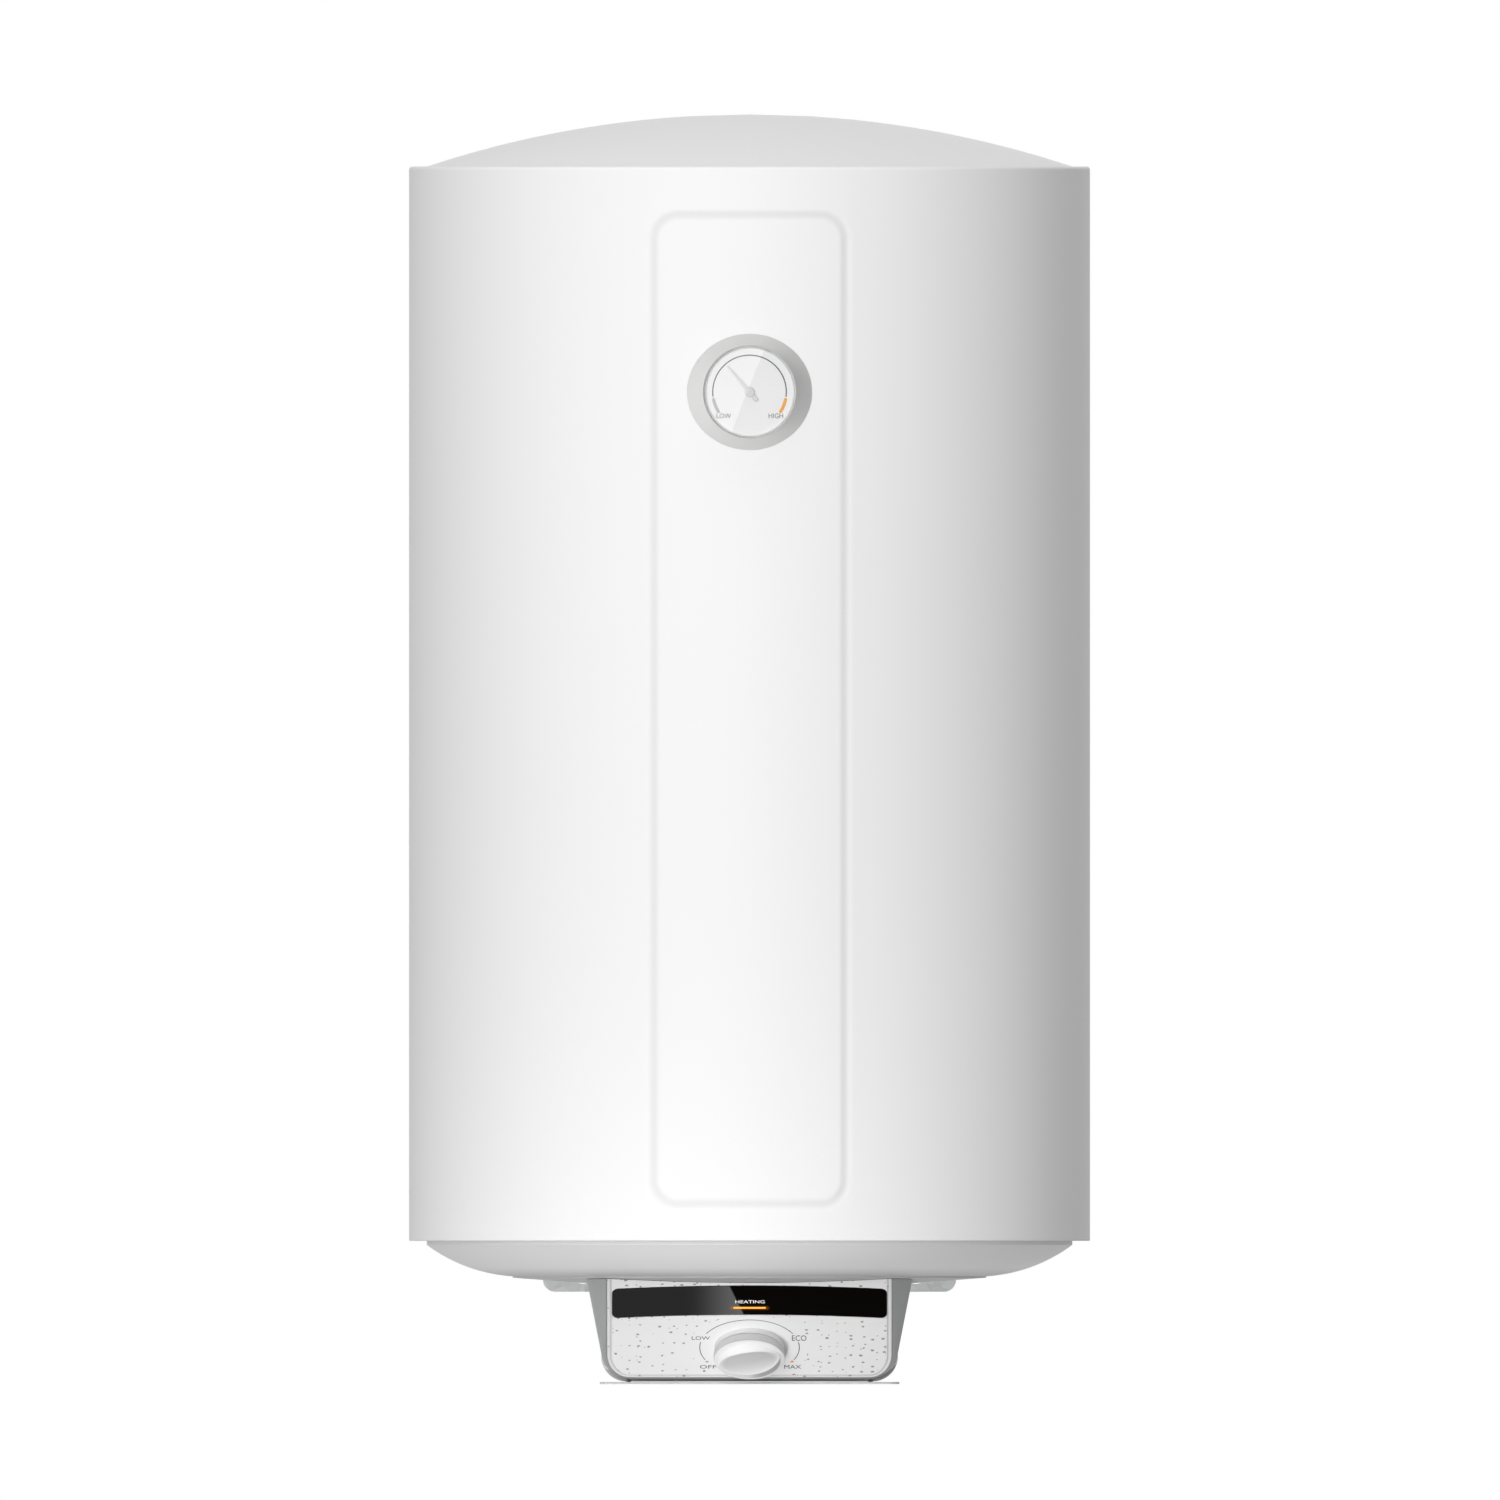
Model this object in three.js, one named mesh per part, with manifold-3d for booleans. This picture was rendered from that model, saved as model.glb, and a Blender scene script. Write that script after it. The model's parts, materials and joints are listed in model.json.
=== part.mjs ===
// Wall-hung electric tank water heater of about 80 litres, 450 mm across.
// Millimetres, +Z up, front towards -Y. The origin is the middle of the upper wall bracket's
// back face, so the wall is the plane y = 0 and the whole heater lies at y < 0.
import * as THREE from "three";
import { mergeVertices } from "three/addons/utils/BufferGeometryUtils.js";
import Module from "manifold-3d";

const wasm = await Module();
wasm.setup();

// ---------------------------------------------------------------- driving dimensions
const GAP = 0.3; // between pieces that touch
const FINE = 48; // sides of the round casing pieces
const MEDIUM = 32; // of the gauge and the knob
const INNER = 24; // of the tank and its flange
const COARSE = 16;

const JACKET_RADIUS = 225;
const JACKET_HEIGHT = 710;
const JACKET_WALL = 0.8;
const LIP_RADIUS = 213.6; // inner edge of the jacket's folded lips
const WALL_GAP = 20; // free space between the jacket and the wall
const BRACKET_HEIGHT = 540; // upper bracket's middle above the jacket's bottom edge
const GROOVE = { halfWidth: 63.5, low: 24.4, high: 677.6, corner: 16, width: 6.5, depth: 1.2 };

const DOME = { radius: 213, rise: 34.4, wall: 1.2, seat: 221.5 };
const DISH = { rim: 213.3, seat: 223.2, step: 157, stepDepth: 1, cone: 107, floor: -28, wall: 2 };
const SHOULDER = { centreRadius: 150, centreZ: 82.4, radius: 106 };
const DISH_OPENING = 78;

const TANK = { radius: 196, wall: 2, bottom: 50, top: 655, headDepth: 45 };
const NECK = { bore: 42, outer: 46, top: 9, flange: 60 };
const FLANGE_PLATE = { top: -9.3, bottom: -14.3 };
const BOLT = { circle: 54, count: 4, radius: 3, hole: 3.5, headRadius: 5.5, headHeight: 4 };
const ELEMENT = { x: 24, radius: 4, top: 250, bottom: -22 };
const POCKET = { y: -20, radius: 6, bore: 4.5, top: 170, bottom: -17 };
const ANODE = { y: 20, radius: 11, bottom: 14, top: 320, studRadius: 4, studEnd: -24 };

const PIPE = { x: 50, y: 110, radius: 10.48, bore: 7.5, bottom: -62, top: 30 }; // half-inch thread
const PIPE_RING = { radius: 14.2, collar: 17, top: -22, seat: -28.4, bottom: -37 };

const PANEL_TILT = 56.5; // degrees that the control panel faces below the horizontal
const PANEL_TOP = { y: -115, z: -27.5 };
const PANEL = { half: 94.25, length: 114.1, corner: 15.5, thick: 3, lift: 8 };
const WINDOW = { half: 90.8, top: -3.7, height: 35.1, arch: 994, corner: 5.5, thick: 1.7 };
const LIGHT = { half: 10.75, y: -30.5, halfHeight: 1 };
const BOX = { topHalf: 108.6, top: -20, half: 96.6, bottom: -92.9, corner: 14, rear: 60, wall: 2.5 };
const FRONT_RIM = -1; // the box's slanted front face, behind the panel's own face
const FRONT_WALL = 4.6;
const LEDGE = 5; // width of the box's ledge behind the panel's edge
const ACCESS = { half: 99, front: -12, rear: 59, top: -93.2, bottom: -94.6 };
const SCREW = { x: 80, y: [-4, 54], head: 3.7, radius: 1.6, top: -86 };
const GLAND = { x: -60, z: -60, radius: 8, bore: 4, collar: 11.5 };

const KNOB_DROP = 77.6; // from the panel's top edge down the slope to the knob's axis
const KNOB = {
  hub: 18, skirt: 23.65, cap: 23.3, seat: 0.4, hubTop: 4.2, skirtTop: 9.2, face: 10.5,
  gripTop: 15.2, gripLength: 21.5, gripWidth: 16,
};
const KNOB_REST = 19; // degrees from the panel's +X to the grip's pointer
const SPINDLE = { radius: 3, bottom: -22, top: 12 };
const THERMOSTAT = { half: 22, front: -6, back: -34 };

const GAUGE_Z = 561;
const BEZEL = { atJacket: 38.65, slope: 0.77, lip: 29.9, bore: 31, top: 10 };
const CASE = { radius: 30.7, inner: 29.5, back: -26, front: 6.3 };
const DIAL = { radius: 29.2, back: 3, front: 4 };
const LENS = { back: 6.6, front: 8.2 };
const NEEDLE = { tip: 22.5, tail: 8, hub: 3.2, back: 4.6, front: 5.4 };
const NEEDLE_REST = 40.5; // degrees anticlockwise from straight up
const ARBOR = { radius: 1.2, back: -12, front: 4.3 };
const BULB = { y: -199.8, radius: 3.5, bottom: 486, top: 520 };

const PLATE = { half: 136.5, thick: 3, slotHalf: 5.5 };
const UPPER_PLATE = { low: 510, high: 570, slotX: 100, slotTop: 543 };
const LOWER_PLATE = {
  low: -33.6, high: -3, legTop: 84, legHalf: 14, holeX: 110, holeLow: -23, holeHigh: -13,
};
const ARM_X = 60;
const ARM_THICK = 6;
const ARMS = [
  { name: "upper_bracket_arm", z: BRACKET_HEIGHT, halfHeight: 22 },
  { name: "lower_bracket_arm", z: 67, halfHeight: 15 },
];
const SIDES = [["left", -1], ["right", 1]];

// ---------------------------------------------------------------- derived values
const AXIS_TO_WALL = JACKET_RADIUS + WALL_GAP;
const FRONT = -JACKET_RADIUS;
const REAR = AXIS_TO_WALL;
const DOME_SPHERE = (DOME.radius ** 2 + DOME.rise ** 2) / (2 * DOME.rise);
const HEAD_OPENING = NECK.outer + GAP;
const FLANGE_SEAT = -6;
const radians = THREE.MathUtils.degToRad;

// The tilted frame of the control panel: x across, y up the slope, z out of its face.
const panelMatrix = new THREE.Matrix4()
  .makeRotationX(radians(90 + PANEL_TILT))
  .setPosition(0, PANEL_TOP.y, PANEL_TOP.z);
const fromPanel = (geometry) => geometry.applyMatrix4(panelMatrix);
const toPanel = (geometry) => geometry.applyMatrix4(panelMatrix.clone().invert());

// ---------------------------------------------------------------- solid helpers
// A closed geometry as a manifold-3d solid.
function solid(shape) {
  if (!(shape instanceof THREE.BufferGeometry)) return shape;
  const bare = new THREE.BufferGeometry();
  bare.setAttribute("position", shape.attributes.position);
  bare.setIndex(shape.index);
  const merged = mergeVertices(bare, 1e-4);
  const corners = merged.index.array;
  const faces = [];
  for (let i = 0; i < corners.length; i += 3) {
    const [a, b, c] = corners.slice(i, i + 3);
    if (a !== b && b !== c && c !== a) faces.push(a, b, c);
  }
  return new wasm.Manifold(
    new wasm.Mesh({
      numProp: 3,
      vertProperties: merged.attributes.position.array,
      triVerts: new Uint32Array(faces),
    }),
  );
}

function geometryOf(manifold) {
  const mesh = manifold.getMesh();
  const geometry = new THREE.BufferGeometry();
  geometry.setAttribute("position", new THREE.BufferAttribute(mesh.vertProperties, 3));
  geometry.setIndex(new THREE.BufferAttribute(mesh.triVerts, 1));
  geometry.computeVertexNormals();
  return geometry;
}

const cut = (base, ...tools) => tools.reduce((rest, tool) => rest.subtract(solid(tool)), solid(base));
const join = (base, ...others) => others.reduce((sum, part) => sum.add(solid(part)), solid(base));
const common = (base, other) => solid(base).intersect(solid(other));

// A profile of [radius, height] pairs turned about the Z axis. It starts and ends on the
// axis, or it is closed here.
function turned(profile, sides = COARSE) {
  const points = profile.map(([radius, height]) => new THREE.Vector2(radius, height));
  const onAxis = profile[0][0] === 0 && profile.at(-1)[0] === 0;
  if (!onAxis) points.push(points[0].clone());
  if (THREE.ShapeUtils.area(points) < 0) points.reverse();
  return new THREE.LatheGeometry(points, sides).rotateX(Math.PI / 2);
}

function ring(inner, outer, low, high, sides = COARSE) {
  return turned([[inner, low], [outer, low], [outer, high], [inner, high]], sides);
}

function rod(radius, low, high, sides = COARSE) {
  return turned([[0, low], [radius, low], [radius, high], [0, high]], sides);
}

// A box between two corners.
function block(low, high) {
  const size = low.map((value, axis) => high[axis] - value);
  const middle = low.map((value, axis) => (high[axis] + value) / 2);
  return new THREE.BoxGeometry(...size).translate(...middle);
}

function roundedRectangle(halfWidth, low, high, radius) {
  const shape = new THREE.Shape();
  shape.absarc(halfWidth - radius, low + radius, radius, -Math.PI / 2, 0);
  shape.absarc(halfWidth - radius, high - radius, radius, 0, Math.PI / 2);
  shape.absarc(radius - halfWidth, high - radius, radius, Math.PI / 2, Math.PI);
  shape.absarc(radius - halfWidth, low + radius, radius, Math.PI, 1.5 * Math.PI);
  return shape;
}

// A U-shaped outline with round lower corners and sides that may splay towards the top.
function trough(topHalf, top, half, low, radius) {
  const shape = new THREE.Shape();
  shape.moveTo(topHalf, top);
  shape.lineTo(-topHalf, top);
  shape.absarc(radius - half, low + radius, radius, Math.PI, 1.5 * Math.PI);
  shape.absarc(half - radius, low + radius, radius, -Math.PI / 2, 0);
  return shape;
}

function extruded(shape, low, high, curveSegments = 4) {
  return new THREE.ExtrudeGeometry(shape, {
    depth: high - low,
    curveSegments,
    bevelEnabled: false,
  }).translate(0, 0, low);
}

// A shape drawn as seen from the front, in X and Z, that fills the space between two depths.
function frontPlate(shape, backY, frontY, curveSegments) {
  return extruded(shape, -backY, -frontY, curveSegments).rotateX(Math.PI / 2);
}

// A round rod that follows a smooth curve through points.
function bentRod(points, radius, steps, sides = 8) {
  const section = new THREE.Shape();
  section.absarc(0, 0, radius, 0, 2 * Math.PI);
  const extrudePath = new THREE.CatmullRomCurve3(points.map((p) => new THREE.Vector3(...p)));
  return new THREE.ExtrudeGeometry(section, { steps, extrudePath, curveSegments: sides / 2 });
}

const look = (color, roughness, metalness = 0) =>
  new THREE.MeshStandardMaterial({ color, roughness, metalness });
const whitePaint = () => look(0xf4f4f3, 0.35);
const whitePlastic = () => look(0xeeeeec, 0.4);
const greyPlastic = () => look(0xb4b6b6, 0.45);
const blackPlastic = () => look(0x1c1c1e, 0.5);
const zincSteel = () => look(0xc3c8c7, 0.4, 0.8);
const enamelSteel = () => look(0x2c4a6b, 0.3);
const copper = () => look(0xb87350, 0.35, 0.9);

const waterHeater = new THREE.Group();
// Everything hangs in a frame on the tank's axis, with z = 0 at the jacket's bottom edge.
const heater = new THREE.Group();
heater.position.set(0, -AXIS_TO_WALL, -BRACKET_HEIGHT);
waterHeater.add(heater);

function piece(name, shape, material, parent = heater) {
  const mesh = new THREE.Mesh(geometryOf(solid(shape)), material);
  mesh.name = name;
  parent.add(mesh);
}

// ---------------------------------------------------------------- casing
const domeHeight = (radius) =>
  JACKET_HEIGHT + DOME.rise - DOME_SPHERE + Math.sqrt(DOME_SPHERE ** 2 - radius ** 2);

// Points from a radius in to the axis, a little under the dome's surface.
const domePoints = (from, drop, count) =>
  Array.from({ length: count + 1 }, (_, i) => {
    const radius = from * (1 - i / count);
    return [radius, domeHeight(radius) - drop];
  });

// The dished bottom cover, from its rim inwards: a round shoulder, a small step, a cone.
function dishPoints(inset, shoulderPoints = 4) {
  const radius = SHOULDER.radius - inset;
  const start = Math.asin((DISH.rim - inset - SHOULDER.centreRadius) / radius);
  const end = Math.asin((DISH.step - SHOULDER.centreRadius) / radius);
  const points = [];
  for (let i = 0; i <= shoulderPoints; i += 1) {
    const angle = start + ((end - start) * i) / shoulderPoints;
    points.push([
      SHOULDER.centreRadius + radius * Math.sin(angle),
      SHOULDER.centreZ - radius * Math.cos(angle),
    ]);
  }
  const stepZ = points.at(-1)[1];
  points.push([DISH.step - 0.5, stepZ - DISH.stepDepth], [DISH.cone, DISH.floor + inset]);
  return points;
}

// The space above the dish's outer face, which the control box fits under.
function dishSpace() {
  const face = dishPoints(0).reverse().map(([radius, z]) => [radius, z - GAP]);
  return turned([[0, DISH.floor - GAP], ...face, [DISH.rim, 30], [0, 30]], FINE);
}

// The ring of material about the centreline of the groove pressed round the jacket's front.
function grooveRing(extra) {
  const half = GROOVE.width / 2 + extra;
  const outline = (grow) =>
    roundedRectangle(
      GROOVE.halfWidth + grow,
      GROOVE.low - grow,
      GROOVE.high + grow,
      GROOVE.corner + grow,
    );
  const shape = outline(half);
  shape.holes.push(outline(-half));
  return frontPlate(shape, -180, -260, 3);
}

function armBox(arm, side, clearance, nearY, farY) {
  const x = side * ARM_X;
  const halfWidth = ARM_THICK / 2 + clearance;
  const halfHeight = arm.halfHeight + clearance;
  return block(
    [x - halfWidth, nearY, arm.z - halfHeight],
    [x + halfWidth, farY, arm.z + halfHeight],
  );
}

const armHoles = (clearance, nearY, farY) =>
  ARMS.flatMap((arm) => SIDES.map(([, side]) => armBox(arm, side, clearance, nearY, farY)));

// One of the two pipe positions, as a vertical cutter.
const pipeHole = (side, radius, low, high) =>
  rod(radius, low, high).translate(side * PIPE.x, PIPE.y, 0);
const pipeHoles = (radius, low, high) => SIDES.map(([, side]) => pipeHole(side, radius, low, high));

function outerJacket() {
  const top = JACKET_HEIGHT;
  const outer = JACKET_RADIUS;
  const inner = outer - JACKET_WALL;
  const shell = turned(
    [
      [LIP_RADIUS, 0], [outer - 0.8, 0], [outer, 0.8],
      [outer, top - 2.2], [outer - 0.7, top - 0.7], [outer - 2.2, top],
      [LIP_RADIUS, top], [LIP_RADIUS, top - JACKET_WALL], [inner - 1.4, top - JACKET_WALL],
      [inner, top - 2.2], [inner, JACKET_WALL], [LIP_RADIUS, JACKET_WALL],
    ],
    FINE,
  );
  const floor = outer - GROOVE.depth;
  const backing = common(
    ring(floor - JACKET_WALL, inner + 0.1, 5, top - 5, FINE),
    grooveRing(JACKET_WALL),
  );
  const groove = common(ring(floor, outer + 2, 5, top - 5, FINE), grooveRing(0));
  const seam = block([-4, outer - 0.4, 1], [4, outer + 1, top - 3]);
  const gaugeHole = rod(BEZEL.bore + 0.6, 190, 240, MEDIUM)
    .rotateX(Math.PI / 2)
    .translate(0, 0, GAUGE_Z);
  return cut(join(shell, backing, seam), groove, gaugeHole, ...armHoles(0.5, 190, 240));
}

function topCover() {
  const seatTop = JACKET_HEIGHT - JACKET_WALL - GAP;
  const seatBottom = seatTop - DOME.wall;
  const inside = DOME.radius - DOME.wall;
  return turned(
    [
      ...domePoints(inside, DOME.wall, 3).reverse(),
      [inside, seatBottom], [DOME.seat, seatBottom], [DOME.seat, seatTop], [DOME.radius, seatTop],
      ...domePoints(DOME.radius, 0, 6),
    ],
    FINE,
  );
}

function bottomCover() {
  const seatLow = JACKET_WALL + GAP;
  const seatHigh = seatLow + DISH.wall;
  const dish = turned(
    [
      [DISH.seat, seatHigh], [DISH.seat, seatLow], [DISH.rim, seatLow],
      ...dishPoints(0), [DISH_OPENING, DISH.floor],
      [DISH_OPENING, DISH.floor + DISH.wall], ...dishPoints(DISH.wall, 2).reverse(),
      [DISH.rim - DISH.wall, seatHigh],
    ],
    FINE,
  );
  // The round opening is closed behind the control box, on the side of the water pipes.
  const rearWeb = common(
    rod(DISH_OPENING + 1, DISH.floor, DISH.floor + DISH.wall, FINE),
    block([-100, BOX.rear - BOX.wall, -40], [100, 100, 0]),
  );
  return cut(join(dish, rearWeb), ...pipeHoles(PIPE_RING.radius + GAP, -40, 0));
}

piece("outer_jacket", outerJacket(), whitePaint());
piece("top_cover", topCover(), whitePaint());
piece("bottom_cover", bottomCover(), whitePlastic());

// ---------------------------------------------------------------- tank and insulation
// Points of a dished head from its rim in to a radius; sign +1 domes upwards.
function headPoints(rim, depth, baseZ, sign, to, count = 5) {
  return Array.from({ length: count + 1 }, (_, i) => {
    const radius = to + (rim - to) * Math.cos((Math.PI / 2) * (i / count));
    return [radius, baseZ + sign * depth * Math.sqrt(1 - (radius / rim) ** 2)];
  });
}

function tankHead(baseZ, sign, opening) {
  const outside = headPoints(TANK.radius, TANK.headDepth, baseZ, sign, opening);
  const inside = headPoints(
    TANK.radius - TANK.wall,
    TANK.headDepth - TANK.wall,
    baseZ,
    sign,
    opening,
  );
  return turned([...outside.reverse(), ...inside], INNER);
}

function insulationFoam() {
  const outer = JACKET_RADIUS - 3.5;
  const low = 3.6;
  const high = 706.5;
  const rim = TANK.radius + GAP;
  const depth = TANK.headDepth + 2 * GAP;
  const blank = turned(
    [
      ...headPoints(rim, depth, TANK.top, 1, 0).reverse(),
      ...headPoints(rim, depth, TANK.bottom, -1, HEAD_OPENING),
      [HEAD_OPENING, low], [outer, low], [outer, high], [DOME.radius - 3, high],
      ...domePoints(DOME.radius - 4, 2.4, 3),
    ],
    INNER,
  );
  const gaugePocket = rod(BEZEL.bore + 1.5, 190, 240, COARSE)
    .rotateX(Math.PI / 2)
    .translate(0, 0, GAUGE_Z);
  const bulbChannel = block([-8, -216, BULB.bottom - 5], [8, -190, GAUGE_Z]);
  return cut(
    blank,
    rod(72, 0, 20, INNER),
    gaugePocket,
    bulbChannel,
    ...pipeHoles(PIPE.radius + 2 * GAP, 0, 30),
    ...armHoles(0.4, 150, 240),
  );
}

piece("insulation_foam", insulationFoam(), look(0xe4d6a4, 0.9));
piece(
  "tank_barrel",
  ring(TANK.radius - TANK.wall, TANK.radius, TANK.bottom, TANK.top, INNER),
  enamelSteel(),
);
piece("tank_upper_head", tankHead(TANK.top + GAP, 1, 0), enamelSteel());
piece(
  "tank_lower_head",
  cut(tankHead(TANK.bottom - GAP, -1, HEAD_OPENING), ...pipeHoles(PIPE.radius + GAP, 0, 40)),
  enamelSteel(),
);

// ---------------------------------------------------------------- heating flange
const boltPlaces = Array.from({ length: BOLT.count }, (_, i) => {
  const angle = radians(45 + (360 / BOLT.count) * i);
  return [BOLT.circle * Math.cos(angle), BOLT.circle * Math.sin(angle)];
});
const boltHoles = () => boltPlaces.map(([x, y]) => rod(BOLT.hole, -30, 10, 8).translate(x, y, 0));

function flangeNeck() {
  const blank = turned(
    [
      [NECK.bore, FLANGE_SEAT], [NECK.flange, FLANGE_SEAT], [NECK.flange, 0], [NECK.outer, 0],
      [NECK.outer, NECK.top], [NECK.bore, NECK.top],
    ],
    INNER,
  );
  return cut(blank, ...boltHoles());
}

function flangePlate() {
  const hole = (radius, x, y) => rod(radius + GAP, -30, 0, 8).translate(x, y, 0);
  return cut(
    rod(NECK.flange, FLANGE_PLATE.bottom, FLANGE_PLATE.top, INNER),
    ...boltHoles(),
    hole(ELEMENT.radius + 0.4, -ELEMENT.x, 0),
    hole(ELEMENT.radius + 0.4, ELEMENT.x, 0),
    rod(POCKET.radius + GAP, -30, 0).translate(0, POCKET.y, 0),
    hole(ANODE.studRadius, 0, ANODE.y),
  );
}

function flangeBolt([x, y]) {
  const headTop = FLANGE_PLATE.bottom - GAP;
  const head = rod(BOLT.headRadius, headTop - BOLT.headHeight, headTop, 6);
  const shank = rod(BOLT.radius, headTop - 1, 3, 8);
  return solid(join(head, shank)).translate([x, y, 0]);
}

// A hairpin heating rod that stands up into the tank.
function heatingElement() {
  const heights = [ELEMENT.bottom, 40, 110, 180, ELEMENT.top];
  const bend = Array.from({ length: 5 }, (_, i) => Math.PI * (1 - (i + 1) / 6));
  const points = [
    ...heights.map((z) => [-ELEMENT.x, 0, z]),
    ...bend.map((a) => [ELEMENT.x * Math.cos(a), 0, ELEMENT.top + ELEMENT.x * Math.sin(a)]),
    ...heights.reverse().map((z) => [ELEMENT.x, 0, z]),
  ];
  return bentRod(points, ELEMENT.radius, 26);
}

function thermostatPocket() {
  return turned([
    [0, POCKET.top], [POCKET.radius, POCKET.top], [POCKET.radius, POCKET.bottom],
    [POCKET.bore, POCKET.bottom], [POCKET.bore, POCKET.top - 1.5], [0, POCKET.top - 1.5],
  ]).translate(0, POCKET.y, 0);
}

function anodeRod() {
  return turned([
    [0, ANODE.studEnd], [ANODE.studRadius, ANODE.studEnd], [ANODE.studRadius, ANODE.bottom],
    [ANODE.radius, ANODE.bottom], [ANODE.radius, ANODE.top], [0, ANODE.top],
  ], 12).translate(0, ANODE.y, 0);
}

function anodeNut() {
  const top = FLANGE_PLATE.bottom - GAP;
  const bore = rod(ANODE.studRadius + GAP, top - 10, top + 5, 12);
  return cut(rod(8, top - 5, top, 6), bore).translate([0, ANODE.y, 0]);
}

piece("flange_neck", flangeNeck(), enamelSteel());
piece(
  "flange_gasket",
  cut(ring(NECK.bore, NECK.flange, FLANGE_PLATE.top + GAP, FLANGE_SEAT - GAP, INNER), ...boltHoles()),
  blackPlastic(),
);
piece("flange_plate", flangePlate(), zincSteel());
boltPlaces.forEach((place, i) => piece(`flange_bolt_${i + 1}`, flangeBolt(place), zincSteel()));
piece("heating_element", heatingElement(), copper());
piece("thermostat_pocket", thermostatPocket(), copper());
piece("anode_rod", anodeRod(), look(0x9a9c9a, 0.7, 0.6));
piece("anode_nut", anodeNut(), zincSteel());

// ---------------------------------------------------------------- water connections
function waterPipe(side) {
  return ring(PIPE.bore, PIPE.radius, PIPE.bottom, PIPE.top).translate(side * PIPE.x, PIPE.y, 0);
}

function pipeRing(side) {
  const bore = PIPE.radius + GAP;
  return turned([
    [bore, PIPE_RING.bottom], [PIPE_RING.collar, PIPE_RING.bottom],
    [PIPE_RING.collar, PIPE_RING.seat], [PIPE_RING.radius, PIPE_RING.seat],
    [PIPE_RING.radius, PIPE_RING.top], [bore, PIPE_RING.top],
  ]).translate(side * PIPE.x, PIPE.y, 0);
}

// A mushroom-shaped cap that spreads the cold water over the tank's floor.
function inletDiffuser() {
  const seat = PIPE.top + GAP;
  const column = ring(PIPE.bore, PIPE.radius, seat, seat + 12);
  const cap = rod(24, seat + 10, seat + 14, COARSE);
  const windows = [
    block([-30, -4, seat + 2], [30, 4, seat + 9]),
    block([-4, -30, seat + 2], [4, 30, seat + 9]),
  ];
  return cut(join(column, cap), ...windows).translate([PIPE.x, PIPE.y, 0]);
}

// Cold water enters on the right, seen from the front, and hot water leaves on the left.
piece("cold_inlet_pipe", waterPipe(1), zincSteel());
piece("hot_outlet_pipe", waterPipe(-1), zincSteel());
piece("cold_inlet_ring", pipeRing(1), look(0x2f62b5, 0.45));
piece("hot_outlet_ring", pipeRing(-1), look(0xc23b30, 0.45));
piece("inlet_diffuser", inletDiffuser(), whitePlastic());
piece(
  "hot_riser_tube",
  ring(PIPE.bore, PIPE.bore + 1.5, PIPE.top + GAP, TANK.top + 5, 12).translate(-PIPE.x, PIPE.y, 0),
  whitePlastic(),
);

// ---------------------------------------------------------------- control box
const panelShape = (grow) =>
  trough(PANEL.half + grow, PANEL.lift, PANEL.half + grow, -PANEL.length - grow, PANEL.corner + grow);

// The display's outline, whose long edges arch gently upwards.
function windowShape(grow) {
  const half = WINDOW.half + grow;
  const arch = (x) => WINDOW.top - (x * x) / (2 * WINDOW.arch);
  const shape = new THREE.Shape();
  const ends = half - WINDOW.corner;
  const stations = [-1, -0.5, 0, 0.5, 1].map((t) => t * ends);
  const highSide = stations.map((x) => [x, arch(x) + grow]);
  const lowSide = stations.map((x) => [x, arch(x) - WINDOW.height - grow]).reverse();
  const corner = 0.3 * WINDOW.corner;
  const outline = [
    ...highSide,
    [half - corner, arch(half) + grow - corner], [half, arch(half) + grow - WINDOW.corner],
    [half, arch(half) - WINDOW.height - grow + WINDOW.corner],
    [half - corner, arch(half) - WINDOW.height - grow + corner],
    ...lowSide,
    [corner - half, arch(half) - WINDOW.height - grow + corner],
    [-half, arch(half) - WINDOW.height - grow + WINDOW.corner],
    [-half, arch(half) + grow - WINDOW.corner], [corner - half, arch(half) + grow - corner],
  ];
  shape.setFromPoints(outline.reverse().map(([x, y]) => new THREE.Vector2(x, y)));
  return shape;
}

const boxShape = (inset) =>
  trough(BOX.topHalf - inset, BOX.top, BOX.half - inset, BOX.bottom + inset, BOX.corner - inset);

const screwPlaces = SCREW.y.flatMap((y) => SIDES.map(([, side]) => [side * SCREW.x, y]));

// Everything further out than a depth measured from the panel's face, and its opposite.
const outsidePanel = (depth) => fromPanel(block([-150, -200, depth], [150, 100, 200]));
const insidePanel = (depth) => fromPanel(block([-150, -250, -250], [150, 100, depth]));

function controlBoxHousing() {
  const ledgeOpening = roundedRectangle(
    PANEL.half - LEDGE,
    LEDGE - PANEL.length,
    -LEDGE - 1,
    PANEL.corner - LEDGE,
  );
  const hollow = common(
    frontPlate(boxShape(BOX.wall), BOX.rear - BOX.wall, -160),
    insidePanel(FRONT_RIM - FRONT_WALL),
  );
  return cut(
    frontPlate(boxShape(0), BOX.rear, -160),
    outsidePanel(FRONT_RIM),
    dishSpace(),
    hollow,
    fromPanel(extruded(panelShape(GAP + 0.1), -PANEL.thick - GAP, 5)),
    fromPanel(extruded(ledgeOpening, -10, 0)),
    block([-70, 2, BOX.bottom - 1], [70, 48, BOX.bottom + 5]),
    ...screwPlaces.map(([x, y]) => rod(SCREW.radius + 0.4, -100, -85, 8).translate(x, y, 0)),
    rod(GLAND.radius + GAP, -80, -40).rotateX(Math.PI / 2).translate(GLAND.x, 0, GLAND.z),
  );
}

function accessCover() {
  const outline = roundedRectangle(ACCESS.half, ACCESS.front, ACCESS.rear, 8);
  const sink = turned([
    [0, -96], [SCREW.head + 0.4, -96], [SCREW.head + 0.4, ACCESS.bottom],
    [SCREW.radius + 0.4, ACCESS.top], [SCREW.radius + 0.4, -92], [0, -92],
  ]);
  return cut(
    extruded(outline, ACCESS.bottom, ACCESS.top),
    ...screwPlaces.map(([x, y]) => sink.clone().translate(x, y, 0)),
  );
}

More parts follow.
